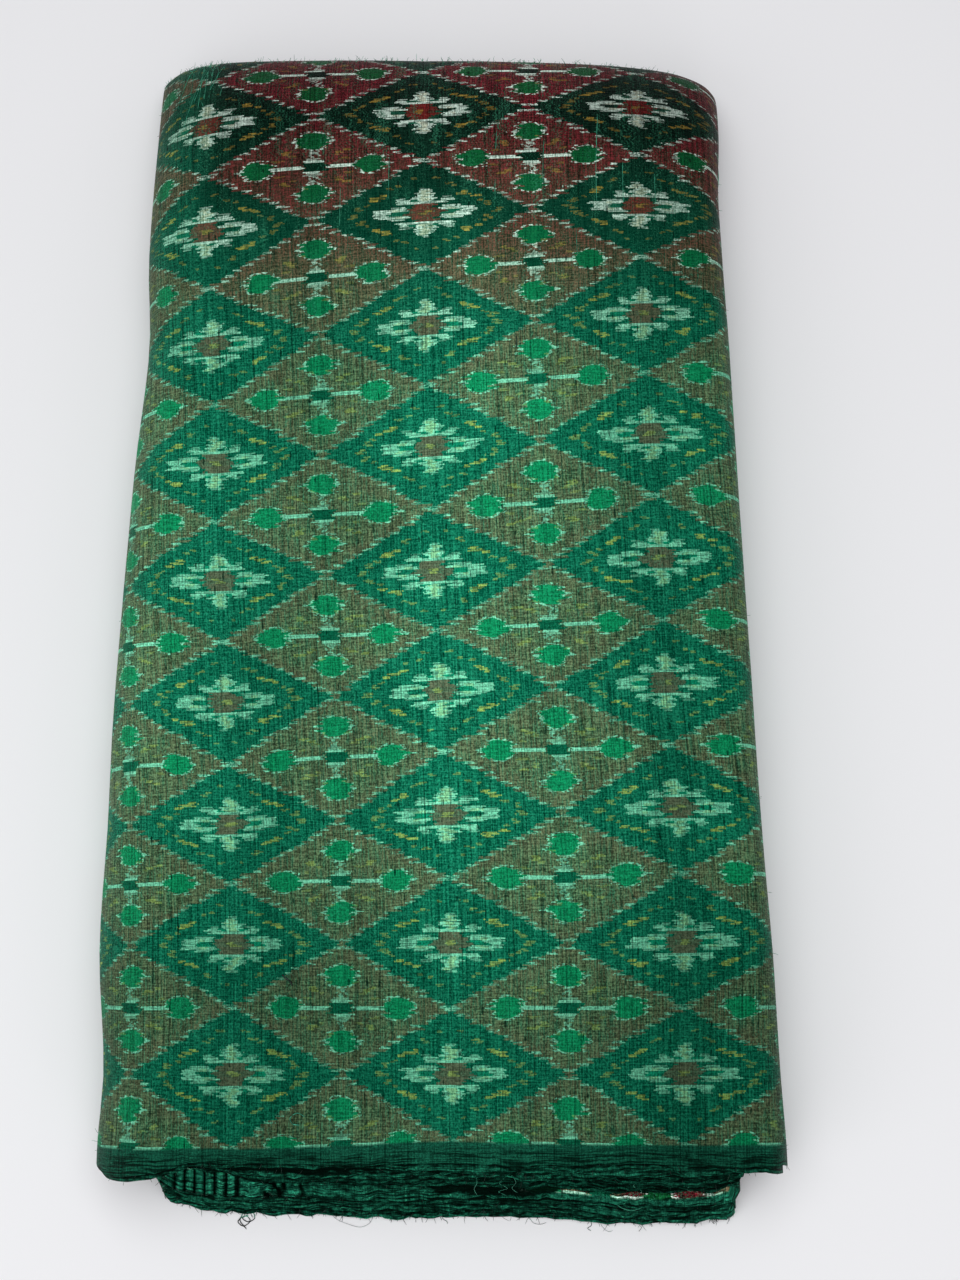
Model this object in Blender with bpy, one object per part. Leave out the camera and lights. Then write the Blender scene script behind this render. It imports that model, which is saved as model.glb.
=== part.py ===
# A folded bolt of slubbed silk cloth. One length of cloth is folded in half along its width, with
# the fold at the far end (+Y) and the selvedges at the near end (-Y). It is then folded back and
# forth into a stack, and its outer end is wrapped around the stack. The stack lies on its lowest
# run, on z = 0. Sizes are in millimetres and become metres when the mesh is made.

import math
from collections import namedtuple

import bpy
from mathutils import Vector

MM = 0.001

STACK_HEIGHT = 72.0
CLOTH = 3.0             # the doubled cloth, with the air between its plies
CLOTH_AT_FOLD = 1.7     # the same, pressed together towards the far fold
PRESSED_FROM = 150.0    # along the cloth: the cloth starts to thin here
PRESSED_TO = 262.0      # and is pressed flat from here on

LOWEST = CLOTH / 2
HIGHEST = STACK_HEIGHT - CLOTH / 2

# The section's own outline, which the outline table then narrows or widens along the bolt.
NOMINAL_LEFT = -152.0
NOMINAL_RIGHT = 153.0

# The wrap, seen from the near end, as arcs of the cloth's middle surface joined by straight runs:
# the free end curled in at the lower right, the right shoulder, the left shoulder and the lower
# left corner. The near edge of the cloth is given at the start, middle and end of each arc, and run
# is the number of steps in the straight run that follows it.
Arc = namedtuple("Arc", "x z radius_x radius_z start end steps near_start near_middle near_end run")
WRAP = [
    Arc(139.5, 13.5, 12.0, 12.0, -75, 0, 3, -253, -252, -250, 2),
    Arc(139.5, 52.0, 12.0, HIGHEST - 52.0, 0, 90, 5, -250, -249.5, -248.5, 8),
    Arc(-106.0, 34.0, 44.5, HIGHEST - 34.0, 90, 180, 7, -249, -252.5, -243.5, 1),
    Arc(-138.5, 13.5, 12.0, 12.0, 180, 270, 4, -242.5, -244, -249, 0),
]
WRAP_FAR = 293.0

# The runs of the stack from the lowest up, seen from the near end. Even rows run to the right, odd
# rows to the left, and each ends in a turn up to the next. The wrap runs into the first row, and
# the last row ends free under the wrap's top. A run rises in its middle and leans up to the right.
Level = namedtuple("Level", "gap_below left right setback far rise lean")
LEVELS = [
    Level(0.0, -138.5, 133.0, 0.0, 266.0, 0.0, 0.0),
    Level(1.5, -125.5, 133.0, 2.0, 263.0, 0.2, 0.2),
    Level(1.6, -125.5, 132.5, 3.6, 261.0, -0.2, 0.3),
    Level(1.6, -127.0, 132.5, 6.2, 262.0, 0.3, -0.2),
    Level(1.8, -127.0, 133.5, 8.6, 260.0, -0.5, -0.2),
    Level(3.4, -134.0, 133.5, 15.0, 261.0, 0.8, 0.3),
    Level(1.8, -134.0, 139.0, 16.2, 259.0, 0.4, -0.2),
    Level(1.6, -142.0, 139.0, 18.2, 260.0, 0.5, 0.1),
    Level(1.7, -142.0, 143.5, 17.6, 261.0, -0.1, 0.3),
    Level(2.0, -140.5, 143.5, 19.2, 259.0, 0.3, -0.2),
    Level(1.9, -140.5, 144.0, 21.6, 258.0, -0.3, 0.1),
    Level(2.0, -132.5, 144.0, 20.6, 257.0, 0.2, -0.3),
    Level(2.1, -132.5, 141.0, 22.4, 254.0, -0.4, 0.2),
    Level(1.9, -117.0, 141.0, 23.8, 248.0, 0.1, 0.0),
]
RUN_STATIONS = [-105, -65, -25, 15, 55, 95]    # across each run, between its turns
TURN_STEPS = 4

# The near edge of the lowest run, from left to right.
LOWEST_EDGE = [
    # x, y
    (-138.5, -249.0),
    (-131.0, -255.0),
    (-125.0, -264.0),
    (-118.0, -269.0),
    (-80.0, -270.5),
    (-20.0, -273.0),
    (50.0, -274.0),
    (90.0, -276.5),
    (130.0, -273.0),
    (137.0, -262.0),
    (145.0, -248.0),
]

# How the top falls towards the far fold, and the nose that it ends in.
FAR_PROFILE = [
    # along the cloth, y, height of the top
    (-300.0, -300.0, STACK_HEIGHT),
    (150.0, 150.0, STACK_HEIGHT),
    (178.0, 178.0, 71.0),
    (205.0, 204.5, 66.4),
    (232.0, 230.6, 59.4),
    (246.0, 243.8, 53.8),
    (259.0, 255.2, 47.0),
    (269.0, 263.0, 40.4),
    (277.0, 267.8, 33.8),
    (285.0, 270.4, 26.2),
    (293.0, 271.0, 18.2),
]

# The outline, narrower towards the far fold.
OUTLINE = [
    # y, left side, right side
    (-300.0, -151.0, 150.8),
    (-241.0, -151.4, 150.2),
    (-208.0, -149.6, 148.2),
    (-155.0, -152.8, 146.0),
    (-100.0, -150.8, 142.2),
    (-46.0, -149.4, 139.8),
    (9.0, -146.4, 137.0),
    (66.0, -142.8, 134.4),
    (123.0, -137.6, 131.8),
    (163.0, -138.8, 129.8),
    (202.0, -138.2, 129.0),
    (242.0, -137.2, 131.0),
    (300.0, -137.0, 132.0),
]

# How far the far corners are drawn back from the nose.
CORNERS = [
    # x, set back
    (-152.0, 12.0),
    (-136.0, 7.0),
    (-124.0, 2.6),
    (-100.0, 0.4),
    (-60.0, -0.6),
    (20.0, 0.0),
    (60.0, 1.0),
    (90.0, 3.2),
    (110.0, 6.4),
    (124.0, 12.0),
    (132.0, 17.0),
    (152.0, 21.0),
]
CORNERS_FROM = 120.0
CORNERS_TO = 262.0

# Soft troughs (negative) and rises pressed through the stack, at full size on its top.
Swell = namedtuple("Swell", "x y reach_x reach_y height")
SWELLS = [
    Swell(-95.0, 120.0, 34.0, 90.0, -1.6),
    Swell(-60.0, -120.0, 60.0, 70.0, 0.9),
    Swell(30.0, 20.0, 70.0, 60.0, -1.2),
    Swell(85.0, 120.0, 40.0, 70.0, 0.8),
    Swell(80.0, -170.0, 45.0, 50.0, -1.3),
    Swell(-118.0, -60.0, 26.0, 60.0, -1.5),
]

# Stations from the near edge (0) to the far fold (1), closer together where the cloth bends.
ACROSS = [0.0, 0.055, 0.2, 0.37, 0.54, 0.68, 0.765, 0.83, 0.882, 0.925, 0.955, 0.978, 1.0]

# One station of the cloth's middle surface: its place in the section, and its near and far ends
# measured along the cloth.
Station = namedtuple("Station", "x z near far on_floor")


def remove_all_objects():
    for item in list(bpy.data.objects):
        bpy.data.objects.remove(item, do_unlink=True)


def blend(a, b, amount):
    return a + (b - a) * amount


def ease(amount):
    amount = min(max(amount, 0.0), 1.0)
    return amount * amount * (3 - 2 * amount)


def slope_at(rows, index, column):
    before = max(index - 1, 0)
    after = min(index + 1, len(rows) - 1)
    return (rows[after][column] - rows[before][column]) / (rows[after][0] - rows[before][0])


# Reads a column of a table at a value of its first column, as a smooth curve through the rows.
def read(rows, column, value):
    value = min(max(value, rows[0][0]), rows[-1][0])
    index = 0
    while index < len(rows) - 2 and rows[index + 1][0] < value:
        index += 1
    width = rows[index + 1][0] - rows[index][0]
    t = (value - rows[index][0]) / width
    start, end = rows[index][column], rows[index + 1][column]
    start_slope = slope_at(rows, index, column) * width
    end_slope = slope_at(rows, index + 1, column) * width
    return (
        start * (2 * t**3 - 3 * t**2 + 1)
        + start_slope * (t**3 - 2 * t**2 + t)
        + end * (3 * t**2 - 2 * t**3)
        + end_slope * (t**3 - t**2)
    )


def wrap_stations():
    stations = []
    for index, arc in enumerate(WRAP):
        for step in range(arc.steps + 1):
            t = step / arc.steps
            angle = math.radians(blend(arc.start, arc.end, t))
            near = blend(arc.near_start, arc.near_end, t)
            bulge = arc.near_middle - (arc.near_start + arc.near_end) / 2
            stations.append(Station(
                arc.x + arc.radius_x * math.cos(angle),
                arc.z + arc.radius_z * math.sin(angle),
                near + bulge * 4 * t * (1 - t),
                WRAP_FAR,
                index == len(WRAP) - 1 and step == arc.steps,
            ))
        last = stations[-1]
        for step in range(1, arc.run):
            t = step / arc.run
            following = WRAP[index + 1]
            angle = math.radians(following.start)
            stations.append(Station(
                blend(last.x, following.x + following.radius_x * math.cos(angle), t),
                blend(last.z, following.z + following.radius_z * math.sin(angle), t),
                blend(last.near, following.near_start, t),
                WRAP_FAR,
                False,
            ))
    return stations


def level_heights():
    heights = [LOWEST]
    for level in LEVELS[1:]:
        heights.append(heights[-1] + CLOTH + level.gap_below)
    return heights


def height_in_run(index, x):
    level = LEVELS[index]
    across = 2 * (x - level.left) / (level.right - level.left) - 1
    return level_heights()[index] + level.rise * (1 - across * across) + level.lean * across


def near_edge(x, setback):
    return read(LOWEST_EDGE, 1, x) + setback


# The turn at the end of a run: half a circle up to the next run.
def turn_stations(index, side):
    level, following = LEVELS[index], LEVELS[index + 1]
    end = level.right if side > 0 else level.left
    height = height_in_run(index, end)
    next_height = height_in_run(index + 1, end)
    radius = (next_height - height) / 2
    centre = end - side * (radius + CLOTH / 2)
    stations = []
    for step in range(TURN_STEPS + 1):
        t = step / TURN_STEPS
        angle = math.pi * (t - 0.5)
        x = centre + side * radius * math.cos(angle)
        z = (height + next_height) / 2 + radius * math.sin(angle)
        setback = blend(level.setback, following.setback, ease(t))
        stations.append(Station(x, z, near_edge(x, setback), level.far, index == 0 and step == 0))
    return stations


# Each run's far end moves evenly from the far end of the run before it to its own.
def stack_stations():
    stations = []
    far_before = WRAP_FAR
    for index, level in enumerate(LEVELS):
        side = 1 if index % 2 == 0 else -1
        start, end = (level.left, level.right) if side > 0 else (level.right, level.left)
        last = index == len(LEVELS) - 1
        for x in RUN_STATIONS[::side] + [end] * last:
            height = height_in_run(index, x)
            far = blend(far_before, level.far, (x - start) / (end - start))
            stations.append(Station(x, height, near_edge(x, level.setback), far, index == 0))
        if not last:
            stations += turn_stations(index, side)
        far_before = level.far
    return stations


def thickness_at(along):
    pressed = (along - PRESSED_FROM) / (PRESSED_TO - PRESSED_FROM)
    return blend(CLOTH, CLOTH_AT_FOLD, ease(pressed))


def swell_at(x, y):
    total = 0.0
    for swell in SWELLS:
        across = (x - swell.x) / swell.reach_x
        along = (y - swell.y) / swell.reach_y
        total += swell.height * math.exp(-across * across - along * along)
    return total


# From the section and the place along the cloth to the point where the cloth lies.
def lie(x, z, along):
    y = read(FAR_PROFILE, 1, along)
    top = read(FAR_PROFILE, 2, along)
    thick = thickness_at(along)
    share = (z - LOWEST) / (HIGHEST - LOWEST)
    height = thick / 2 + share * (top - thick)
    left = read(OUTLINE, 1, y)
    right = read(OUTLINE, 2, y)
    across = blend(left, right, (x - NOMINAL_LEFT) / (NOMINAL_RIGHT - NOMINAL_LEFT))
    drawn = read(CORNERS, 1, across) * ease((along - CORNERS_FROM) / (CORNERS_TO - CORNERS_FROM))
    height += swell_at(across, y) * share
    return Vector((across, y - drawn, height))


def middle_surface(stations):
    rows = []
    for station in stations:
        alongs = [blend(station.near, station.far, f) for f in ACROSS]
        rows.append([(lie(station.x, station.z, along), thickness_at(along)) for along in alongs])
    return rows


# The outer and inner faces of the cloth, half its thickness to each side of its middle surface.
def faces_of_cloth(rows, stations):
    outer, inner = [], []
    last_row, last_column = len(rows) - 1, len(ACROSS) - 1
    for i, row in enumerate(rows):
        outer_row, inner_row = [], []
        for j, (point, thick) in enumerate(row):
            onward = rows[min(i + 1, last_row)][j][0] - rows[max(i - 1, 0)][j][0]
            away = row[min(j + 1, last_column)][0] - row[max(j - 1, 0)][0]
            normal = away.cross(onward).normalized()
            outside = point + normal * thick / 2
            inside = point - normal * thick / 2
            if stations[i].on_floor:
                outside.z = 0.0
            outside.z = max(outside.z, 0.0)
            outer_row.append(outside)
            inner_row.append(inside)
        outer.append(outer_row)
        inner.append(inner_row)
    return outer, inner


def centred(points):
    xs = [p.x for p in points]
    ys = [p.y for p in points]
    middle = Vector(((min(xs) + max(xs)) / 2, (min(ys) + max(ys)) / 2, 0.0))
    return [(p - middle) * MM for p in points]


def closed_faces(row_count, column_count):
    layer = row_count * column_count

    def at(side, i, j):
        return side * layer + i * column_count + j

    faces = []
    for i in range(row_count - 1):
        for j in range(column_count - 1):
            faces.append((at(0, i, j), at(0, i, j + 1), at(0, i + 1, j + 1), at(0, i + 1, j)))
            faces.append((at(1, i, j), at(1, i + 1, j), at(1, i + 1, j + 1), at(1, i, j + 1)))
        far = column_count - 1
        faces.append((at(0, i, 0), at(0, i + 1, 0), at(1, i + 1, 0), at(1, i, 0)))
        faces.append((at(0, i, far), at(1, i, far), at(1, i + 1, far), at(0, i + 1, far)))
    end = row_count - 1
    for j in range(column_count - 1):
        faces.append((at(0, 0, j), at(1, 0, j), at(1, 0, j + 1), at(0, 0, j + 1)))
        faces.append((at(0, end, j), at(0, end, j + 1), at(1, end, j + 1), at(1, end, j)))
    return faces


def silk_material():
    material = bpy.data.materials.new("green_silk")
    material.use_nodes = True
    shader = material.node_tree.nodes["Principled BSDF"]
    shader.inputs["Base Color"].default_value = (0.012, 0.195, 0.092, 1.0)
    shader.inputs["Roughness"].default_value = 0.6
    shader.inputs["Metallic"].default_value = 0.0
    return material


def cloth_bolt():
    stations = wrap_stations() + stack_stations()
    outer, inner = faces_of_cloth(middle_surface(stations), stations)
    points = [p for row in outer for p in row] + [p for row in inner for p in row]
    mesh = bpy.data.meshes.new("cloth_bolt")
    mesh.from_pydata(centred(points), [], closed_faces(len(stations), len(ACROSS)))
    mesh.shade_smooth()
    mesh.set_sharp_from_angle(angle=math.radians(50))
    mesh.materials.append(silk_material())
    item = bpy.data.objects.new("cloth_bolt", mesh)
    bpy.context.scene.collection.objects.link(item)
    return item


remove_all_objects()
cloth_bolt()
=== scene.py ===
# The looks of a folded bolt of slubbed ikat silk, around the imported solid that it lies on.
# Shapes are worked out in millimetres and become metres when a mesh is made.

import math
import random

import bpy
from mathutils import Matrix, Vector, noise


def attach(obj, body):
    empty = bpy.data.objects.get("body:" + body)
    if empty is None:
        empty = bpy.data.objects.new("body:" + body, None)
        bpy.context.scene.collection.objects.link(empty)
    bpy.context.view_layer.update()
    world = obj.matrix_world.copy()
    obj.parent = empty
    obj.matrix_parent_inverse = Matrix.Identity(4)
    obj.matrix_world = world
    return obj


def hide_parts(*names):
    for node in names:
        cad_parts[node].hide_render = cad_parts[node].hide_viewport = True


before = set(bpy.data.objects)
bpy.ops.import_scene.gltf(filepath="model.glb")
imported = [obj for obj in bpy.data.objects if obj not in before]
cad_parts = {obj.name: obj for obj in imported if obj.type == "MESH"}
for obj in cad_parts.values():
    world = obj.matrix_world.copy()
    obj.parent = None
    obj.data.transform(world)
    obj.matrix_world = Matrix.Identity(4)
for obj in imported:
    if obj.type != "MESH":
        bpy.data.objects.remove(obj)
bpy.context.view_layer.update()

mm = 0.001
print("bolt: frame loaded")


# Camera: it looks down at 80 degrees from about a metre, as the photo does
view = {
    "target": (0.01835, -0.01239, 0.03623),
    "distance": 1.035,
    "elevation": 80.0,
    "lens": 63.6,
    "sensor": 36.0,
}


def makeCamera():
    angle = math.radians(view["elevation"])
    away = Vector((0.0, -math.cos(angle), math.sin(angle)))
    data = bpy.data.cameras.new("boltCamera")
    data.lens = view["lens"]
    data.sensor_width = view["sensor"]
    camera = bpy.data.objects.new("boltCamera", data)
    camera.location = Vector(view["target"]) + away * view["distance"]
    camera.rotation_euler = (math.pi / 2 - angle, 0.0, 0.0)
    bpy.context.scene.collection.objects.link(camera)
    bpy.context.scene.camera = camera


makeCamera()


# The folded cloth: the same section and tables as the solid, in millimetres
bolt = {
    "height": 72.0,
    "cloth": 3.0,            # the doubled cloth, with the air between its plies
    "clothAtFold": 1.7,      # pressed together towards the far fold
    "pressedFrom": 150.0,
    "pressedTo": 262.0,
    "left": -152.0,          # the section's own outline, before the outline table narrows it
    "right": 153.0,
    "wrapFar": 293.0,
    "wrapEdge": -248.5,      # about where the wrap's near edge lies over the stack
    "uncovered": 2000.0,     # a place further in than any cloth reaches
    "middle": (-1.048, -2.013),   # of the tables' box, so that the origin is the box's middle
}
lowest = bolt["cloth"] / 2
highest = bolt["height"] - bolt["cloth"] / 2

# The wrap's arcs, from the free end at the lower right over the top to the lower left
wrapArcs = [
    # x, z, radiusX, radiusZ, start, end, nearStart, nearMiddle, nearEnd
    (139.5, 13.5, 12.0, 12.0, -75, 0, -253, -252, -250),
    (139.5, 52.0, 12.0, highest - 52.0, 0, 90, -250, -249.5, -249.5),
    (-106.0, 34.0, 44.5, highest - 34.0, 90, 180, -247.2, -253.6, -246.5),
    (-138.5, 13.5, 12.0, 12.0, 180, 270, -246, -246.5, -249),
]

# The runs of the stack from the lowest up; even rows run to the right, odd rows to the left
levels = [
    # gapBelow, left, right, setback, far, rise, lean
    (0.0, -138.5, 135.0, 0.0, 266.0, 0.0, 0.0),
    (1.5, -126.5, 135.0, 2.0, 263.0, 0.2, 0.2),
    (1.6, -126.5, 134.5, 3.6, 261.0, -0.2, 0.3),
    (1.6, -127.5, 134.5, 6.2, 262.0, 0.3, -0.2),
    (1.8, -127.5, 135.5, 8.6, 260.0, -0.5, -0.2),
    (3.4, -134.0, 135.5, 15.0, 261.0, 0.8, 0.3),
    (1.8, -134.0, 139.0, 16.2, 259.0, 0.4, -0.2),
    (1.6, -142.0, 139.0, 18.2, 260.0, 0.5, 0.1),
    (1.7, -142.0, 143.5, 17.6, 261.0, -0.1, 0.3),
    (2.0, -140.5, 143.5, 19.2, 259.0, 0.3, -0.2),
    (1.9, -140.5, 144.0, 21.6, 258.0, -0.3, 0.1),
    (2.0, -132.5, 144.0, 20.6, 257.0, 0.2, -0.3),
    (2.1, -132.5, 141.0, 22.4, 254.0, -0.4, 0.2),
    (1.9, -117.0, 141.0, 23.8, 248.0, 0.1, 0.0),
]

lowestEdge = [
    # x, y of the lowest run's near edge
    (-138.5, -249.0), (-130.0, -255.5), (-126.4, -263.5), (-118.0, -268.0), (-92.0, -272.0),
    (-20.0, -273.5), (50.0, -274.0), (90.0, -276.5), (133.0, -274.0), (138.0, -262.0),
    (145.0, -248.0),
]

farProfile = [
    # along the cloth, y, height of the top
    (-300.0, -300.0, 72.0), (150.0, 150.0, 72.0), (178.0, 178.0, 71.0), (205.0, 204.5, 66.4),
    (232.0, 230.6, 59.4), (246.0, 243.8, 53.8), (259.0, 255.2, 47.0), (269.0, 263.0, 40.4),
    (277.0, 267.8, 33.8), (285.0, 270.4, 26.2), (293.0, 271.0, 18.2),
]

outline = [
    # y, left side, right side
    (-300.0, -151.0, 150.8), (-241.0, -151.4, 150.2), (-208.0, -149.6, 148.2),
    (-155.0, -152.8, 146.0), (-100.0, -150.8, 142.2), (-46.0, -149.4, 139.8),
    (9.0, -146.4, 137.0), (66.0, -142.8, 134.4), (123.0, -137.6, 131.8),
    (163.0, -138.8, 129.8), (202.0, -138.2, 129.0), (242.0, -137.2, 131.0),
    (300.0, -137.0, 132.0),
]

corners = [
    # x, how far the far corner is drawn back from the nose
    (-152.0, 12.0), (-136.0, 7.0), (-124.0, 2.6), (-100.0, 0.4), (-60.0, -0.6), (20.0, 0.0),
    (60.0, 1.0), (90.0, 3.2), (110.0, 6.4), (124.0, 12.0), (132.0, 17.0), (152.0, 21.0),
]
cornersFrom, cornersTo = 120.0, 262.0

swells = [
    # x, y, reachX, reachY, height of a soft rise or trough in the top
    (-95.0, 120.0, 34.0, 90.0, -1.6), (-60.0, -120.0, 60.0, 70.0, 0.9),
    (30.0, 20.0, 70.0, 60.0, -1.2), (85.0, 120.0, 40.0, 70.0, 0.8),
    (80.0, -170.0, 45.0, 50.0, -1.3), (-118.0, -60.0, 26.0, 60.0, -1.5),
]

creases = [
    # x and y of each end, half width, height: soft creases and ridges in the upper plies
    (-122.0, 210.0, -84.0, 60.0, 6.0, 0.5), (-128.0, 120.0, -104.0, -20.0, 5.0, -0.6),
    (-112.0, -90.0, -96.0, -215.0, 5.0, 0.5), (104.0, 190.0, 118.0, 20.0, 6.0, -0.5),
    (112.0, -10.0, 122.0, -190.0, 6.0, 0.5), (-20.0, 200.0, 36.0, 176.0, 7.0, 0.4),
    (30.0, -212.0, 92.0, -190.0, 6.0, -0.5), (-84.0, -226.0, -30.0, -236.0, 5.0, 0.4),
    (52.0, -232.0, 118.0, -226.0, 4.0, 0.4),
]

detail = {
    "ply": 0.55,             # one ply of the silk, a little thick so that it closes well
    "wrapStep": 2.8,         # between stations along the section
    "stackStep": 4.0,
    "pleatStep": 0.9,
    "turnSteps": 6,
    "foldSteps": 5,          # round the far fold, from the upper ply to the lower
    "pleatLevel": 4,         # the run whose edge is pleated at the lower left
    "pleats": (-122.0, -86.0, 4.9, 1.3),        # from, to, pitch, height
    "crumple": (-82.0, -58.0, 2.2),             # from, to, height
    "pleatDepth": 20.0,      # how far in from the edge the pleats fade out
    "setBackBy": 3.2,        # the runs above the pleats are pushed back here
    "notch": (120.8, 1.6, 4.4),                 # a nick in the lowest edge: x, half width, depth
    "wideGapShade": (-10.0, 60.0, 3.4),               # painted shade over the pleated run: from and to x, and how much deeper it reaches
    "wrapGapShade": (-114.0, -30.0, 1.2),            # painted shade under the wrap's edge at the left, the same
    "openEnd": (129.5, 5.0),                    # less painted shade at the stack's right end, where light comes in: from x, and how far
}

# Painted light and shade on each run of the stack at its edge, from the lowest up
runPaintedLight = [1.05, 0.8, 1.1, 0.7, 1.25, 0.95, 0.75, 1.4, 0.8, 1.5, 0.85, 1.7, 0.95, 1.4]

# Painted light and shade on the wrap's top, where the silk's sheen catches the light: lightest along its middle,
# darker towards the near end, the far fold and the right
paintedLightAcross = [
    (-152.0, 1.12), (-133.0, 1.02), (-107.0, 0.95), (-80.0, 0.91), (-53.0, 0.93), (-27.0, 0.97),
    (0.0, 1.05), (26.0, 1.03), (53.0, 0.98), (79.0, 0.91), (106.0, 0.83), (130.0, 0.87), (152.0, 0.92),
]
paintedLightAlong = [
    (-262.0, 0.80), (-240.0, 0.82), (-190.0, 0.83), (-143.0, 0.92), (-98.0, 0.99), (-50.0, 1.02),
    (85.0, 1.01), (128.0, 0.97), (164.0, 0.93), (190.0, 0.91), (208.0, 0.90), (228.0, 0.85), (272.0, 0.90),
]


def ease(amount):
    amount = min(max(amount, 0.0), 1.0)
    return amount * amount * (3 - 2 * amount)


def blend(a, b, amount):
    return a + (b - a) * amount


# Reads a column of a table at a value of its first column, as a smooth curve through the rows
def read(rows, column, value):
    value = min(max(value, rows[0][0]), rows[-1][0])
    index = 0
    while index < len(rows) - 2 and rows[index + 1][0] < value:
        index += 1

    def slope(at):
        before, after = rows[max(at - 1, 0)], rows[min(at + 1, len(rows) - 1)]
        return (after[column] - before[column]) / (after[0] - before[0])

    width = rows[index + 1][0] - rows[index][0]
    t = (value - rows[index][0]) / width
    start, end = rows[index][column], rows[index + 1][column]
    return (
        start * (2 * t**3 - 3 * t**2 + 1) + slope(index) * width * (t**3 - 2 * t**2 + t)
        + end * (3 * t**2 - 2 * t**3) + slope(index + 1) * width * (t**3 - t**2)
    )


# Stations are dictionaries: place in the section, near and far end along the cloth, and level
def wrapStations():
    stations = []
    for index, arc in enumerate(wrapArcs):
        x, z, radiusX, radiusZ, start, end, nearStart, nearMiddle, nearEnd = arc
        sweep = math.radians(abs(end - start))
        steps = max(6, round(sweep * (radiusX + radiusZ) / 2 / detail["wrapStep"]))
        for step in range(steps + 1):
            t = step / steps
            angle = math.radians(blend(start, end, t))
            near = blend(nearStart, nearEnd, t) + (nearMiddle - (nearStart + nearEnd) / 2) * 4 * t * (1 - t)
            stations.append({
                "x": x + radiusX * math.cos(angle), "z": z + radiusZ * math.sin(angle),
                "near": near, "far": bolt["wrapFar"], "level": -1,
            })
        if index + 1 == len(wrapArcs):
            break
        following, last = wrapArcs[index + 1], stations[-1]
        angle = math.radians(following[4])
        nextX = following[0] + following[2] * math.cos(angle)
        nextZ = following[1] + following[3] * math.sin(angle)
        steps = max(2, round(math.hypot(nextX - last["x"], nextZ - last["z"]) / detail["wrapStep"]))
        for step in range(1, steps):
            t = step / steps
            stations.append({
                "x": blend(last["x"], nextX, t), "z": blend(last["z"], nextZ, t),
                "near": blend(last["near"], following[6], t), "far": bolt["wrapFar"], "level": -1,
            })
    return stations


def levelHeight(index):
    return lowest + sum(bolt["cloth"] + row[0] for row in levels[1:index + 1])


def heightInRun(index, x):
    gap, left, right, setback, far, rise, lean = levels[index]
    across = 2 * (x - left) / (right - left) - 1
    return levelHeight(index) + rise * (1 - across * across) + lean * across


# The runs above the pleats are drawn back at the left, so that the pleats show
def nearEdge(x, setback, index):
    pushed = detail["setBackBy"] * ease((-78.0 - x) / 18.0) if index > detail["pleatLevel"] else 0.0
    return read(lowestEdge, 1, x) + setback + pushed * ease((24.0 - setback) / 8.0)


def runStations(index, farBefore, steps):
    gap, left, right, setback, far, rise, lean = levels[index]
    side = 1 if index % 2 == 0 else -1
    start, end = (left, right) if side > 0 else (right, left)
    margin = 7.0 * side
    stations, x = [], start + margin
    while (end - x) * side > margin * side * 0.9:
        stations.append({
            "x": x, "z": heightInRun(index, x), "near": nearEdge(x, setback, index),
            "far": blend(farBefore, far, (x - start) / (end - start)), "level": index,
        })
        fine = index == detail["pleatLevel"] and detail["pleats"][0] - 2 < x < detail["crumple"][1] + 2
        fine = fine or (index == 0 and steps > 3.0 and abs(x - detail["notch"][0]) < 6.0)
        x += side * (detail["pleatStep"] if fine else steps)
    return stations


def turnStations(index):
    level, following = levels[index], levels[index + 1]
    side = 1 if index % 2 == 0 else -1
    end = level[2] if side > 0 else level[1]
    height, nextHeight = heightInRun(index, end), heightInRun(index + 1, end)
    radius = (nextHeight - height) / 2
    centre = end - side * (radius + bolt["cloth"] / 2)
    stations = []
    for step in range(detail["turnSteps"] + 1):
        t = step / detail["turnSteps"]
        angle = math.pi * (t - 0.5)
        x = centre + side * radius * math.cos(angle)
        setback = blend(level[3], following[3], ease(t))
        stations.append({
            "x": x, "z": (height + nextHeight) / 2 + radius * math.sin(angle),
            "near": nearEdge(x, setback, index + ease(t)), "far": level[4], "level": index + t,
        })
    return stations


def stackStations():
    stations, farBefore = [], levels[0][4]
    for index, level in enumerate(levels):
        if index > 0:
            stations += runStations(index, farBefore, detail["stackStep"])
        if index < len(levels) - 1:
            stations += turnStations(index)
        farBefore = level[4]
    return stations


def thicknessAt(along):
    pressed = (along - bolt["pressedFrom"]) / (bolt["pressedTo"] - bolt["pressedFrom"])
    return blend(bolt["cloth"], bolt["clothAtFold"], ease(pressed))


def creaseAt(x, y):
    total = 0.0
    for startX, startY, endX, endY, width, height in creases:
        spanX, spanY = endX - startX, endY - startY
        t = ((x - startX) * spanX + (y - startY) * spanY) / (spanX * spanX + spanY * spanY)
        t = min(max(t, 0.0), 1.0)
        away = math.hypot(x - startX - spanX * t, y - startY - spanY * t)
        total += height * math.exp(-(away / width) ** 2)
    return total


def swellAt(x, y):
    total = 0.0
    for swellX, swellY, reachX, reachY, height in swells:
        total += height * math.exp(-((x - swellX) / reachX) ** 2 - ((y - swellY) / reachY) ** 2)
    return total


# From the section and the place along the cloth to the point where the cloth lies
def lie(x, z, along):
    y = read(farProfile, 1, along)
    top = read(farProfile, 2, along)
    thick = thicknessAt(along)
    share = (z - lowest) / (highest - lowest)
    height = thick / 2 + share * (top - thick)
    left, right = read(outline, 1, y), read(outline, 2, y)
    across = blend(left, right, (x - bolt["left"]) / (bolt["right"] - bolt["left"]))
    drawn = read(corners, 1, across) * ease((along - cornersFrom) / (cornersTo - cornersFrom))
    height += swellAt(across, y) * share
    height += (creaseAt(across, y) + 0.5 * noise.noise(Vector((across / 38, y / 52, 4.0)))) * share**3
    return Vector((across, y - drawn, height))


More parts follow.
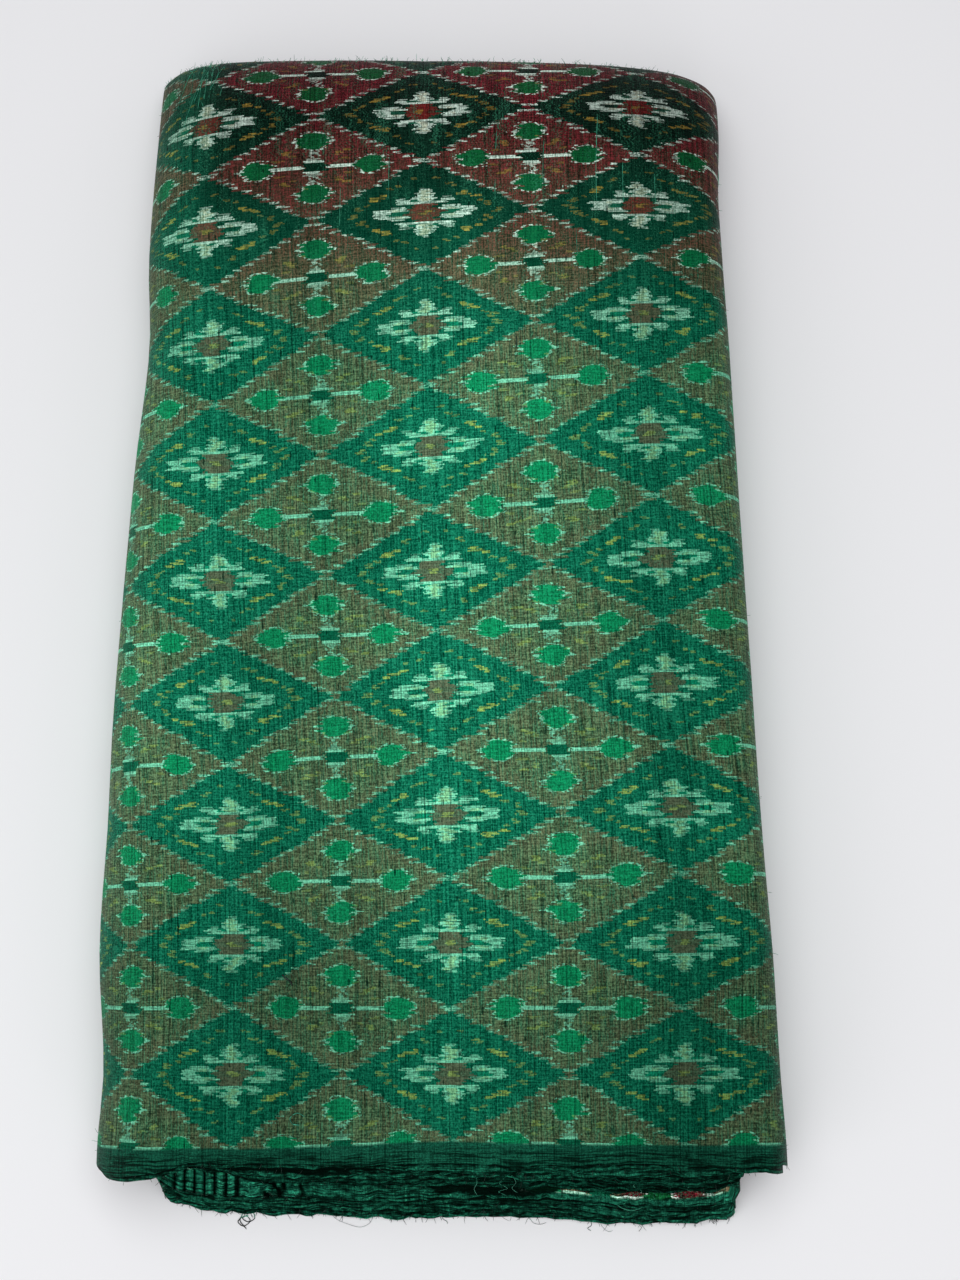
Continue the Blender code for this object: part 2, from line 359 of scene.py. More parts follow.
# How far a ply is drawn in from its run's own edge, unevenly; the wrap's outer ply lies further in
def drawnAt(x, z, level, ply):
    seed = level * 3.7 + ply * 9.0
    travel = x - z if level < 0 else x
    drawn = 2.2 * noise.noise(Vector((travel / 46.0, seed, 0.0)))
    drawn += 1.4 * noise.noise(Vector((travel / 8.0, seed, 2.0)))
    drawn += 1.0 * noise.noise(Vector((travel / 2.6, seed, 5.0)))
    if level < 0:
        return 0.55 * drawn + (1.6 if ply > 0 else -0.9)
    notchX, halfWidth, depth = detail["notch"]
    if level < 0.5:
        drawn += depth * math.exp(-((x - notchX) / halfWidth) ** 2) - 0.6
    return drawn + 0.8


def upperPly(run):
    return 1 if run % 2 else -1


# Where the next ply above starts: what lies further in along the cloth than that is covered, and the material
# paints it in shade
def coverAt(station, ply):
    x, z, level = station["x"], station["z"], station["level"]
    if level < 0:
        return station["near"] + drawnAt(x, z, -1, 1) if ply < 0 else bolt["uncovered"]
    run = round(level)
    edges = [bolt["wrapEdge"] + drawnAt(x, 60.0, -1, -1)]
    if ply != upperPly(run):
        edges.append(nearEdge(x, levels[run][3], run) + drawnAt(x, z, run, upperPly(run)))
    for above in range(run + 1, len(levels)):
        edge = nearEdge(x, levels[above][3], above)
        edges += [edge + drawnAt(x, z, above, 1), edge + drawnAt(x, z, above, -1)]
    fromX, further = detail["openEnd"]
    if x > fromX and run <= detail["pleatLevel"] + 1:
        return min(edges) + further
    # The painted shade reaches deeper in the gap over the pleated run and under the wrap's edge
    start, end, deeper = detail["wideGapShade"] if run == detail["pleatLevel"] else detail["wrapGapShade"]
    if run == detail["pleatLevel"] or run > 10:
        deeper *= ease((x - start) / 14) * ease((end - x) / 14)
        return min(edges) - deeper
    return min(edges)


def pleatWave(x):
    start, end, pitch, height = detail["pleats"]
    within = ease((x - start) / 3) * ease((end - x) / 3)
    return math.cos(2 * math.pi * (x - start) / pitch + 1.3 * math.sin(x / 9)), within


def crumpleAt(x, y):
    start, end, height = detail["crumple"]
    within = ease((x - start) / 4) * ease((end - x) / 4)
    return 2 * noise.noise(Vector(((x + 0.8 * y) / 3.4, (y - 0.5 * x) / 7.0, 8.0))), within


# How the runs open and pinch near their selvedges, and the pleats and the crumple in one of them
def edgeLift(station, point, inFromEdge, ply):
    calm = 1 - ease(inFromEdge / 48.0)
    lift = 0.5 * noise.noise(Vector((point.x / 19, point.y / 34, station["level"] * 5 + ply * 2.3))) * calm
    if station["level"] == detail["pleatLevel"]:
        fade = 1 - ease(inFromEdge / detail["pleatDepth"])
        wave, within = pleatWave(station["x"])
        lift += detail["pleats"][3] * (0.4 + wave) * fade * within
        fold, within = crumpleAt(station["x"], point.y)
        lift += detail["crumple"][2] * fold * fade * within
    return lift


# Painted light and shade over the wrap's top, from the two tables, with a little random tone
def wrapPaintedLightAndTone(place):
    tone = read(paintedLightAcross, 1, place.x) * read(paintedLightAlong, 1, place.y)
    return tone ** 2.2 * (1 + 0.1 * noise.noise(Vector((place.x / 34, place.y / 60, 1.0))))


# Painted light and shade on the stack's edges, with random tone on top of each run's own painted light
def stackPaintedLightAndTone(station, place):
    run = round(station["level"])
    tone = runPaintedLight[run] * (1 + 0.5 * noise.noise(Vector((place.x / 15, place.y / 2.5, run * 4.0))))
    # Painted shade: the runs above the pleats darken towards the right
    if run > detail["pleatLevel"]:
        tone *= 1 - 0.48 * ease((station["x"] - 40.0) / 50.0)
    # Painted light between the pleats and the crumple, painted shade in the pleats' valleys with painted
    # highlights on their crests, and painted shade in the crumple's hollows
    if run == detail["pleatLevel"]:
        wave, within = pleatWave(station["x"])
        between = 0.5 * (detail["pleats"][1] + detail["crumple"][0])
        tone *= 1 + 1.3 * math.exp(-((station["x"] - between) / 3.2) ** 2)
        tone = blend(tone, blend(0.03, 2.8, ease(0.5 + 0.7 * wave)), within)
        fold, within = crumpleAt(station["x"], place.y)
        tone = blend(tone, blend(0.01, 2.5, ease(0.36 + 1.6 * fold)), within)
    # Painted light where light comes in at the stack's open right end
    if run <= detail["pleatLevel"] + 1:
        tone *= 1 + 0.9 * ease((station["x"] - 120.0) / 9.0)
    return tone


# Places one doubled cloth: its upper ply from the near edge to the far fold, and its lower ply back
def doubledCloth(stations, shares):
    middle = []
    for station in stations:
        middle.append([lie(station["x"], station["z"], blend(station["near"], station["far"], f)) for f in shares])
    last, lastShare = len(stations) - 1, len(shares) - 1
    travelled, rows = 0.0, []
    for i, station in enumerate(stations):
        if i > 0:
            travelled += (middle[i][1] - middle[i - 1][1]).length
        plies = {1: [], -1: []}
        reach = station["far"] - station["near"]
        for ply in (1, -1):
            drawn = drawnAt(station["x"], station["z"], station["level"], ply)
            cover = coverAt(station, ply)
            for k, share in enumerate(shares):
                onward = middle[min(i + 1, last)][k] - middle[max(i - 1, 0)][k]
                away = (middle[i][min(k + 1, lastShare)] - middle[i][max(k - 1, 0)]).normalized()
                normal = away.cross(onward).normalized()
                along = blend(station["near"], station["far"], share)
                inFromEdge = share * reach
                apart = thicknessAt(along) / 2 - detail["ply"] / 2
                apart *= 0.82 + 0.16 * noise.noise(Vector((travelled / 30, along / 40, ply * 3.0)))
                moved = drawn * (1 - ease(inFromEdge / 14.0))
                place = middle[i][k] + normal * (apart * ply) + away * moved
                place.z += edgeLift(station, place, inFromEdge, ply)
                # tone carries painted light and shade with some random tone; under, how far a point lies beneath a
                # covering edge, sets the painted shade between plies
                tone = wrapPaintedLightAndTone(place) if station["level"] < 0 else stackPaintedLightAndTone(station, place)
                plies[ply].append({
                    "place": place, "along": along, "inFromEdge": inFromEdge, "share": k,
                    "under": along + moved - cover, "tone": tone, "level": station["level"],
                })
        row = list(plies[1])
        upper, lower = plies[1][-1], plies[-1][-1]
        centre, half = (upper["place"] + lower["place"]) / 2, (upper["place"] - lower["place"]) / 2
        away = (middle[i][-1] - middle[i][-2]).normalized() * half.length
        for step in range(1, detail["foldSteps"]):
            angle = math.pi * step / detail["foldSteps"]
            bend = centre + half * math.cos(angle) + away * math.sin(angle)
            row.append({**upper, "place": bend, "along": station["far"] + half.length * math.sin(angle)})
        row += reversed(plies[-1])
        rows.append(row)
    return middle, rows


# Closes a grid of the cloth's own points into a thin sheet, with its two maps and the attributes that colour it:
# the painted sheen shift, the painted light and shade with random tone, and how far under another edge each point
# lies, for painted shade
def sheetMesh(name, rows, clothMap, bakeMap):
    height, width = len(rows), len(rows[0])
    outer, inner = [], []
    half = detail["ply"] / 2
    for i, row in enumerate(rows):
        for m, item in enumerate(row):
            onward = rows[min(i + 1, height - 1)][m]["place"] - rows[max(i - 1, 0)][m]["place"]
            away = row[min(m + 1, width - 1)]["place"] - row[max(m - 1, 0)]["place"]
            normal = away.cross(onward).normalized() * half
            outer.append(item["place"] + normal)
            inner.append(item["place"] - normal)
    middle = Vector((*bolt["middle"], 0.0))
    points = []
    for point in outer + inner:
        point.z = max(point.z, 0.0)
        points.append((point - middle) * mm)
    layer = height * width

    def at(side, i, m):
        return side * layer + i * width + m

    faces = []
    for i in range(height - 1):
        for m in range(width - 1):
            faces.append((at(0, i, m), at(0, i, m + 1), at(0, i + 1, m + 1), at(0, i + 1, m)))
            faces.append((at(1, i, m), at(1, i + 1, m), at(1, i + 1, m + 1), at(1, i, m + 1)))
    for i in range(height - 1):
        end = width - 1
        faces.append((at(0, i, 0), at(0, i + 1, 0), at(1, i + 1, 0), at(1, i, 0)))
        faces.append((at(0, i, end), at(1, i, end), at(1, i + 1, end), at(0, i + 1, end)))
    for m in range(width - 1):
        end = height - 1
        faces.append((at(0, 0, m), at(1, 0, m), at(1, 0, m + 1), at(0, 0, m + 1)))
        faces.append((at(0, end, m), at(0, end, m + 1), at(1, end, m + 1), at(1, end, m)))
    mesh = bpy.data.meshes.new(name)
    mesh.from_pydata(points, [], faces)
    mesh.shade_smooth()
    mesh.set_sharp_from_angle(angle=math.radians(60))
    clothLayer = mesh.uv_layers.new(name="clothMap")
    bakeLayer = mesh.uv_layers.new(name="OFBake")
    for loop in mesh.loops:
        side, index = divmod(loop.vertex_index, layer)
        i, m = divmod(index, width)
        clothLayer.data[loop.index].uv = clothMap[i][m]
        bakeLayer.data[loop.index].uv = bakeMap(i, m, side)
    for key in ("paintedSheenShift", "tone", "under"):
        values = mesh.attributes.new(name=key, type="FLOAT", domain="POINT").data
        for index in range(2 * layer):
            i, m = divmod(index % layer, width)
            values[index].value = rows[i][m][key]
    item = bpy.data.objects.new(name, mesh)
    bpy.context.scene.collection.objects.link(item)
    return item


# The lattice of the weave, as it lies on the top: where its rows and three columns of stars are
lattice = {
    "acrossRepeat": 100.0,   # between stars in a row
    "alongRepeat": 55.6,     # between rows of stars
    "threadRows": 24,        # ikat rows in half a repeat, each drawn as one thick thread
    "selvedge": 10.0,        # plain band at the near edge
    "narrowBand": 3.4,       # and on the pleated run, right of this x
    "narrowFrom": 36.0,
    "lineShows": 72.5,       # x between the two light lines that show there
    "glimpse": (82.0, 122.0),
    "rows": [
        # star row; along the cloth at the left, middle and right column; x of the three columns
        (-0.5, -240.6, -237.7, -239.0, -88.6, 5.8, 105.0), (0, -208.5, -209.3, -208.5, -88.6, 5.3, 104.9),
        (1, -154.3, -153.4, -153.0, -89.2, 4.4, 105.4), (2, -102.5, -98.1, -95.0, -91.5, 2.1, 103.6),
        (3, -48.3, -43.0, -39.5, -95.2, -0.3, 99.6), (4, 5.5, 11.0, 16.8, -99.4, -3.1, 97.3),
        (5, 60.0, 67.7, 73.5, -101.4, -5.1, 93.6), (6, 115.1, 124.1, 130.0, -104.9, -6.7, 91.1),
        (7, 168.9, 178.0, 183.0, -108.3, -7.8, 90.5), (8, 226.5, 232.8, 239.5, -109.9, -9.8, 90.7),
        (9.1, 291.0, 294.0, 299.0, -110.0, -10.0, 90.7),
    ],
}


def rowNumber(along, column):
    rows = [(row[column], row[0]) for row in lattice["rows"]]
    if along < rows[0][0]:
        return rows[0][1] + (along - rows[0][0]) / lattice["alongRepeat"]
    return read(rows, 1, along)


# The wrap's weave coordinates: across from the middle column of stars, along in star rows
def wrapClothMap(stations, middle, rows, shares):
    count = len(stations)
    acrossAt = []
    for k, share in enumerate(shares):
        lengths = [0.0]
        for i in range(1, count):
            lengths.append(lengths[-1] + (middle[i][k] - middle[i - 1][k]).length)
        along = blend(stations[count // 2]["near"], stations[count // 2]["far"], share)
        number = rowNumber(along, 2)
        table = [(row[0], *row[4:]) for row in lattice["rows"]]
        columns = [read(table, c, number) for c in (1, 2, 3)]
        crossing = []
        for target in columns:
            onTop = [i for i in range(1, count) if stations[i]["z"] > 45.0
                     and middle[i][k].x <= target < middle[i - 1][k].x]
            i = onTop[0]
            t = (middle[i - 1][k].x - target) / (middle[i - 1][k].x - middle[i][k].x)
            crossing.append(blend(lengths[i - 1], lengths[i], t))
        left, centre, right = crossing
        repeat = lattice["acrossRepeat"]
        acrossAt.append([
            (centre - s) * repeat / ((centre - right) if s < centre else (left - centre)) for s in lengths
        ])
    clothMap = []
    for i, row in enumerate(rows):
        mapRow = []
        for item in row:
            across = acrossAt[item["share"]][i]
            numbers = [rowNumber(item["along"], c) for c in (1, 2, 3)]
            toSide = min(max(across / lattice["acrossRepeat"], -1.0), 1.0)
            number = blend(numbers[1], numbers[0 if toSide < 0 else 2], abs(toSide))
            mapRow.append((across, number * lattice["alongRepeat"]))
            item["paintedSheenShift"] = paintedSheenShiftAt(item["place"], item["along"])
        clothMap.append(mapRow)
    return clothMap


# The runs inside: each selvedge has the plain band at its own edge. On the pleated run the band is
# narrow, so that a light line and a red glimpse of the pattern show in the gap above it.
def stackClothMap(stations, middle, rows):
    travelled = [0.0]
    for before, after in zip(middle, middle[1:]):
        travelled.append(travelled[-1] + (after[1] - before[1]).length)
    line, glimpse = lattice["lineShows"], lattice["glimpse"]
    pleated = [i for i, station in enumerate(stations) if station["level"] == detail["pleatLevel"]]
    closest = min(pleated, key=lambda i: abs(stations[i]["x"] - line))
    shift = lattice["acrossRepeat"] / 2 - travelled[closest]
    clothMap = []
    for i, row in enumerate(rows):
        inPleated = stations[i]["level"] == detail["pleatLevel"] and stations[i]["x"] > lattice["narrowFrom"]
        band = lattice["narrowBand"] if inPleated else lattice["selvedge"]
        edge = -0.5 * lattice["alongRepeat"] - band
        clothMap.append([(travelled[i] + shift, edge + item["inFromEdge"]) for item in row])
        red = inPleated and glimpse[0] < stations[i]["x"] < glimpse[1]
        # The stack takes some of the painted sheen shift, and all of it in the red glimpse
        for item in row:
            item["paintedSheenShift"] = 1.0 if red and item["inFromEdge"] > 3.0 else 0.35
            if red and item["inFromEdge"] > 3.0:
                item["tone"], item["under"] = 0.95, item["under"] - 1.1
    return clothMap


# Shot silk, as painted sheen: its other colour shows where the cloth turns down to the far fold, least at the
# left; the green weft's sheen is painted in where it lies flat
def paintedSheenShiftAt(place, along):
    amount = ease((along - 95.0) / 150.0)
    return amount * (1 - 0.65 * ease((-98.0 - place.x) / 26.0))


# Stations from the near edge (0) to the far fold (1), closer together at both ends
def spread(count, nearShare, nearCount, farShare, farCount):
    shares = [nearShare * (n / nearCount) ** 1.3 for n in range(nearCount)]
    between = count - nearCount - farCount
    shares += [blend(nearShare, farShare, n / between) for n in range(between)]
    shares += [blend(farShare, 1.0, n / farCount) for n in range(farCount + 1)]
    return shares


# Where each side of each ply lies on the map that the finish is baked to: most of it is the top
def wrapBakeMap(stations, shares):
    weights = []
    for station in stations:
        weights.append(1.0 if station["z"] > 30.0 else 0.3)
    total, starts = sum(weights), []
    for i in range(len(weights)):
        starts.append(sum(weights[:i]) / total)
    plyWidth = len(shares)

    def place(i, m, side):
        along = min(m, 2 * plyWidth + detail["foldSteps"] - 2 - m) / (plyWidth + detail["foldSteps"])
        if side == 0 and m < plyWidth + 2:
            return (0.002 + 0.81 * starts[i], 0.002 + 0.99 * m / (plyWidth + 2))
        column = 0.82 + 0.06 * (2 if side == 0 else 0 if m < plyWidth + 2 else 1)
        return (column + 0.05 * starts[i], 0.002 + 0.99 * along)

    return place


def stackBakeMap(stations, width):
    def place(i, m, side):
        return (0.001 + 0.998 * i / len(stations), 0.5 * side + 0.002 + 0.49 * m / width)

    return place


def makeCloth():
    wrapShares = spread(62, 0.045, 12, 0.80, 20)
    floorRun = [s for s in runStations(0, bolt["wrapFar"], detail["wrapStep"]) if s["x"] < 14.0]
    stations = wrapStations() + floorRun
    middle, wrapRows = doubledCloth(stations, wrapShares)
    clothMap = wrapClothMap(stations, middle, wrapRows, wrapShares)
    wrap = sheetMesh("clothWrap", wrapRows, clothMap, wrapBakeMap(stations, wrapShares))
    wrapSize = measured(middle)
    print("bolt: wrap", len(wrap.data.polygons) * 2, "triangles")
    stackShares = spread(20, 0.052, 10, 0.9, 4)
    stations = floorStart(floorRun[-1]) + stackStations()
    middle, stackRows = doubledCloth(stations, stackShares)
    clothMap = stackClothMap(stations, middle, stackRows)
    stack = sheetMesh("clothStack", stackRows, clothMap, stackBakeMap(stations, len(stackRows[0])))
    print("bolt: stack", len(stack.data.polygons) * 2, "triangles")
    return (wrap, wrapSize, wrapRows), (stack, measured(middle), stackRows)


# The rest of the lowest run, from where the wrap's mesh ends under the bolt
def floorStart(joint):
    stations = runStations(0, bolt["wrapFar"], detail["stackStep"])
    return [joint] + [s for s in stations if s["x"] > joint["x"] + 2.0]


# Flat size of a doubled cloth: its two halves across the loom, and its length
def measured(middle):
    width = 2 * sum((b - a).length for a, b in zip(middle[len(middle) // 2], middle[len(middle) // 2][1:]))
    length = sum((b[3] - a[3]).length for a, b in zip(middle, middle[1:]))
    return width * mm, length * mm


random.seed(41)
(wrap, wrapSize, wrapRows), (stack, stackSize, stackRows) = makeCloth()


# One function adds a node, with its inputs by place or by name, and its settings
def addNode(tree, kind, inputs, **settings):
    node = tree.nodes.new("ShaderNode" + kind)
    for name, value in settings.items():
        setattr(node, name, value)
    if isinstance(inputs, tuple):
        inputs = dict(enumerate(inputs))
    for name, value in inputs.items():
        if isinstance(value, bpy.types.NodeSocket):
            tree.links.new(value, node.inputs[name])
        else:
            node.inputs[name].default_value = value
    return node.outputs


def linear(colour):
    channels = []
    for start in (1, 3, 5):
        value = int(colour[start:start + 2], 16) / 255
        channels.append(value / 12.92 if value <= 0.04045 else ((value + 0.055) / 1.055) ** 2.4)
    return (*channels, 1.0)


# Tie-dyed (ikat) slubbed tussar silk, hand woven: dyed before weaving, so its motifs have feathered
# steps, and shot, so that its other colour shows where it turns away; that shift is painted sheen, set by place
ikatSilk = {
    "ior": 1.54,
    "roughness": 0.52,
    "glossSpread": 0.08,     # threads that stand up are this much glossier than the gaps
    "specular": 0.06,
    "specularTint": "#35a57a",   # light that goes in between the threads comes back green
    "sheen": 0.01,
    "sheenRoughness": 0.45,
    "sheenTint": "#35a57a",
    "ribPitch": 1.25,        # fine ribs across the cloth
    "ribHeight": 0.16,       # against the height of the threads, as the next one
    "slubHeight": 0.5,
    "ribWaver": 9.0,
    "bump": 0.22,
    "rowShift": 5.5,         # how far a dyed row slips in the weaving
    "rowSlip": (26.0, 0.27, 0.0, 0.0, 1.0),      # the slip's own noise: see the columns below
    "pickShift": 2.6,        # and one thread in it
    "pickBlock": 5.0,
    "wander": 1.2,           # how far the whole lattice strays, in a soft way
    "wanderOver": 75,
    "grainShares": (0.5, 0.36),  # of the picks in the grain, and of the specks over both
    "grainRange": (0.22, 0.78),
    "shotPatches": 0.25,
    "dash": (1.9, 0.5),      # half the length of a light dash at the border, and the faintest of them
    "rustAtBorder": (2.0, 16.0, 0.4, 0.05),      # from and to how far in, and how red there
    "rustShare": (0.55, 0.66),
    "strayShare": 0.5,
    "sliverLeast": 0.5,
    "bandEdge": (0.6, 0.4),  # how softly the selvedge's band begins
    "puckerShadeFrom": (5.0, 1.5, 1.0, 0.25),          # the painted shade lines are strongest low in the band
    "puckerShadeShare": 0.85,
    "slubShares": (0.6, 0.4, 0.3, 0.8),          # dark, light where shot and elsewhere, knots
    "contrast": (0.44, 1.53),    # how dark and how light the threads are, against their colour
    "stripe": 0.09,          # how much the wide stripes along the warp show
    "foldedEdges": (-60.0, -40.0),               # the attribute under is above these on the stack alone
    "mottling": (0.22, 2.0),
    "shadeUnderEdges": (-0.5, 0.6, 0.97),    # painted shade: from and to how far under another edge, and how black there
    "shadeUnderEdgesUnevenly": 1.3,
    "colours": {
        # name: (as it lies, with the weft's sheen painted in; where it turns down to the far fold, with that
        # painted sheen gone)
        "greenDark": ("#006046", "#010705"),
        "greenLight": ("#177859", "#112e22"),
        "brownDark": ("#385539", "#38080f"),
        "brownLight": ("#60855d", "#7a2330"),
        "rust": ("#6a654c", "#7a202c"),
        "mint": ("#79d6ad", "#e2f8ea"),
        "slot": ("#0f8c66", "#1d5541"),
        "oval": ("#108c59", "#0f5a2e"),
        "centre": ("#0a6144", "#06140d"),
        "yellow": ("#9cbc58", "#b2903c"),
        "core": ("#58674e", "#741e20"),
        "selvedge": ("#195e48", "#0c3b2d"),
        "slubDark": ("#02281c", "#05130d"),
        "slubLight": ("#2f9a74", "#34785c"),
        # gap: the near-black painted shade between folded edges and in the selvedge's pucker lines
        "gap": ("#020b08", "#020605"),
    },
    "noises": {
        # width across, length along, detail, low and high value that become 0 and 1
        "warp": (0.74, 28.0, 2.0, 0.32, 0.68),       # warp threads are about 0.4 mm; drawn nearly
        "weft": (6.0, 0.62, 2.0, 0.32, 0.68),        # twice as coarse, to show, and so are the picks
        "speck": (0.8, 1.0, 1.0, 0.3, 0.7),
        "patch": (30.0, 22.0, 1.0, 0.3, 0.7),        # where the painted sheen shift comes sooner
        "worn": (2.4, 0.7, 1.0, 0.36, 0.54),         # gaps in the dashes of the border
        "patchy": (17.0, 11.0, 1.0, 0.32, 0.64),     # and where they are all faint
        "rusty": (15.0, 8.0, 2.0, 0.3, 0.72),
        "stray": (0.8, 9.0, 1.0, 0.48, 0.7),         # green threads in the brown
        "someStars": (15.0, 9.0, 0.0, 0.3, 0.5),
        "ticks": (1.8, 1.0, 0.0, 0.44, 0.6),         # the ovals' light rims are broken into ticks
        "puckerShadeLines": (20.0, 0.9, 2.0, 0.46, 0.58),       # painted shade in dark wavy lines across the selvedge
        "darkSlub": (1.0, 95.0, 1.0, 0.62, 0.78),
        "knot": (1.4, 6.0, 0.0, 0.82, 0.87),
        "stripes": (22.0, 420.0, 2.0, 0.3, 0.7),
        "mottled": (3.4, 1.2, 2.0, 0.3, 0.7),        # crushed and frayed folded edges
        "broken": (5.0, 2.5, 1.0, 0.3, 0.7),
        "waver": (14.0, 9.0, 1.0, 0.2, 0.8),
    },
    "slippedNoises": {
        # these follow the dyed threads where they slip
        "slivers": (5.5, 0.62, 1.0, 0.36, 0.52),
        "lightSlub": (0.9, 46.0, 1.0, 0.56, 0.76),
    },
}

# The chart of a star diamond: from row and to row, counted out from its middle, and from and to
# across, in millimetres out from its middle
starChart = [
    # colour, fromRow, toRow, fromAcross, toAcross, strength
    ("core", 0, 0, 0.0, 8.0, 0.8), ("core", 1, 1, 0.0, 6.6, 1.0), ("core", 2, 3, 0.0, 5.0, 1.0),
    ("yellow", 0, 0, 0.0, 1.8, 0.5),
    ("mint", 0, 0, 15.2, 22.0, 0.85), ("slot", 0, 0, 8.8, 15.2, 1.0), ("mint", 1, 1, 7.4, 22.4, 1.0),
    ("mint", 2, 2, 8.6, 17.0, 0.75), ("mint", 4, 4, 0.0, 11.8, 1.0), ("mint", 5, 5, 6.2, 12.2, 0.95),
    ("slot", 5, 5, 2.6, 6.2, 1.0), ("mint", 5, 5, 0.0, 2.6, 0.9), ("mint", 6, 6, 0.0, 4.6, 0.95),
    ("mint", 6, 6, 7.6, 11.4, 0.55), ("mint", 7, 7, 0.0, 4.0, 0.9), ("mint", 8, 8, 0.0, 3.4, 0.95),
    ("mint", 9, 9, 0.0, 2.6, 0.9), ("mint", 10, 10, 0.0, 1.7, 0.6),
    ("yellow", 5, 9, 0.0, 1.6, 0.35), ("yellow", 1, 1, 11.0, 14.5, 0.3),
    ("yellow", 8, 8, 15.4, 19.0, 0.8), ("yellow", 7, 7, 17.0, 22.0, 0.7), ("yellow", 6, 6, 20.6, 24.4, 0.85),
    ("yellow", 2, 3, 28.4, 31.0, 0.4), ("yellow", 0, 0, 31.0, 34.5, 0.4),
    ("yellow", 11, 11, 12.0, 14.4, 0.35), ("yellow", 12, 12, 9.0, 11.4, 0.45),
    ("yellow", 15, 15, 4.0, 6.0, 0.35), ("yellow", 4, 4, 25.4, 27.4, 0.4),
]

# The chart of a brown diamond, in the same columns
brownChart = [
    ("centre", 0, 1, 0.0, 5.0, 1.0), ("mint", 2, 2, 0.0, 3.9, 0.95), ("mint", 3, 3, 0.0, 3.6, 0.45),
    ("mint", 4, 4, 0.0, 1.2, 0.6), ("mint", 5, 5, 0.9, 2.0, 0.5), ("mint", 6, 6, 0.0, 1.3, 0.7),
    ("mint", 7, 7, 0.8, 1.9, 0.4),
    ("yellow", 6, 6, 10.0, 13.6, 0.4), ("yellow", 7, 7, 12.4, 16.0, 0.4), ("yellow", 5, 5, 8.0, 10.6, 0.25),
    ("yellow", 3, 3, 14.0, 17.5, 0.25), ("yellow", 9, 9, 4.0, 6.0, 0.25),
]

# Ovals in the brown diamond: at the sides and above and below its middle, and what links them
ovals = {
    "places": [(26.0, 0.0), (0.0, 14.0)],
    "half": (6.8, 4.7),
    "rim": 1.17,             # the light rim is this much larger
    "tail": (9.6, 1.2),      # the oval's feathered tails, half long and half high
    "link": (5.6, 18.6, 0.85),   # a light line: from and to across, and half its height
}


def spanMask(tree, row, across, span):
    colour, fromRow, toRow, start, end, strength = span
    rows, width = (toRow - fromRow) / 2 + 0.5, (end - start) / 2
    inRow = addNode(tree, "Math", (row, (fromRow + toRow) / 2, rows), operation="COMPARE")[0]
    inSpan = addNode(tree, "Math", (across, (start + end) / 2, width), operation="COMPARE")[0]
    both = addNode(tree, "Math", (inRow, inSpan), operation="MULTIPLY")[0]
    return addNode(tree, "Math", (both, strength), operation="MULTIPLY")[0]


def ovalMask(tree, across, along, centre, half):
    apart = []
    for value, middle, size in zip((across, along), centre, half):
        offset = addNode(tree, "Math", (value, middle), operation="SUBTRACT")[0]
        apart.append(addNode(tree, "Math", (offset, size), operation="DIVIDE")[0])
    vector = addNode(tree, "CombineXYZ", (apart[0], apart[1]))[0]
    length = addNode(tree, "VectorMath", (vector,), operation="LENGTH")["Value"]
    return addNode(tree, "Math", (length, 1.0), operation="LESS_THAN")[0]


# Noise stretched along the threads, spread to the range 0 to 1
def threadNoise(tree, across, along, width, length, detailLevel, low, high):
    x = addNode(tree, "Math", (across, width), operation="DIVIDE")[0]
    y = addNode(tree, "Math", (along, length), operation="DIVIDE")[0]
    place = addNode(tree, "CombineXYZ", (x, y, 0.0))[0]
    settings = {"Vector": place, "Scale": 1.0, "Detail": detailLevel, "Roughness": 0.6}
    value = addNode(tree, "TexNoise", settings, noise_dimensions="2D")[0]
    return addNode(tree, "MapRange", (value, low, high, 0.0, 1.0))[0]


# Counts the whole steps of one size, as a chart does
def wholeSteps(tree, length, size):
    steps = addNode(tree, "Math", (length, size), operation="DIVIDE")[0]
    return addNode(tree, "Math", (steps,), operation="FLOOR")[0]


# Where the dyed threads lie: coordinates that slip from row to row
def slippedCoordinates(tree, across, along):
    look = ikatSilk
    rowHeight = lattice["alongRepeat"] / 2 / lattice["threadRows"]
    place = addNode(tree, "CombineXYZ", (across, along))[0]
    settings = {"Vector": place, "Scale": 1 / look["wanderOver"], "Detail": 1.0}
    soft = addNode(tree, "TexNoise", settings, noise_dimensions="2D")["Color"]
    drift = addNode(tree, "VectorMath", (soft, (0.5, 0.5, 0.5)), operation="SUBTRACT")[0]
    drift = addNode(tree, "VectorMath", {0: drift, "Scale": look["wander"] * 2}, operation="SCALE")[0]
    place = addNode(tree, "VectorMath", (place, drift), operation="ADD")[0]
    parts = addNode(tree, "SeparateXYZ", (place,))
    across, along = parts["X"], parts["Y"]
    row = wholeSteps(tree, along, rowHeight)
    slip = threadNoise(tree, across, row, *look["rowSlip"])
    slip = addNode(tree, "Math", (slip, 0.5), operation="SUBTRACT")[0]
    slip = addNode(tree, "Math", (slip, look["rowShift"]), operation="MULTIPLY")[0]
    pick = wholeSteps(tree, along, rowHeight / 2)
    block = wholeSteps(tree, across, look["pickBlock"])
    cell = addNode(tree, "CombineXYZ", (block, pick))[0]
    loose = addNode(tree, "TexWhiteNoise", {"Vector": cell}, noise_dimensions="2D")["Value"]
    loose = addNode(tree, "Math", (loose, 0.5), operation="SUBTRACT")[0]
    slip = addNode(tree, "Math", (loose, look["pickShift"], slip), operation="MULTIPLY_ADD")[0]
    slipped = addNode(tree, "Math", (across, slip), operation="ADD")[0]
    return slipped, along, rowHeight


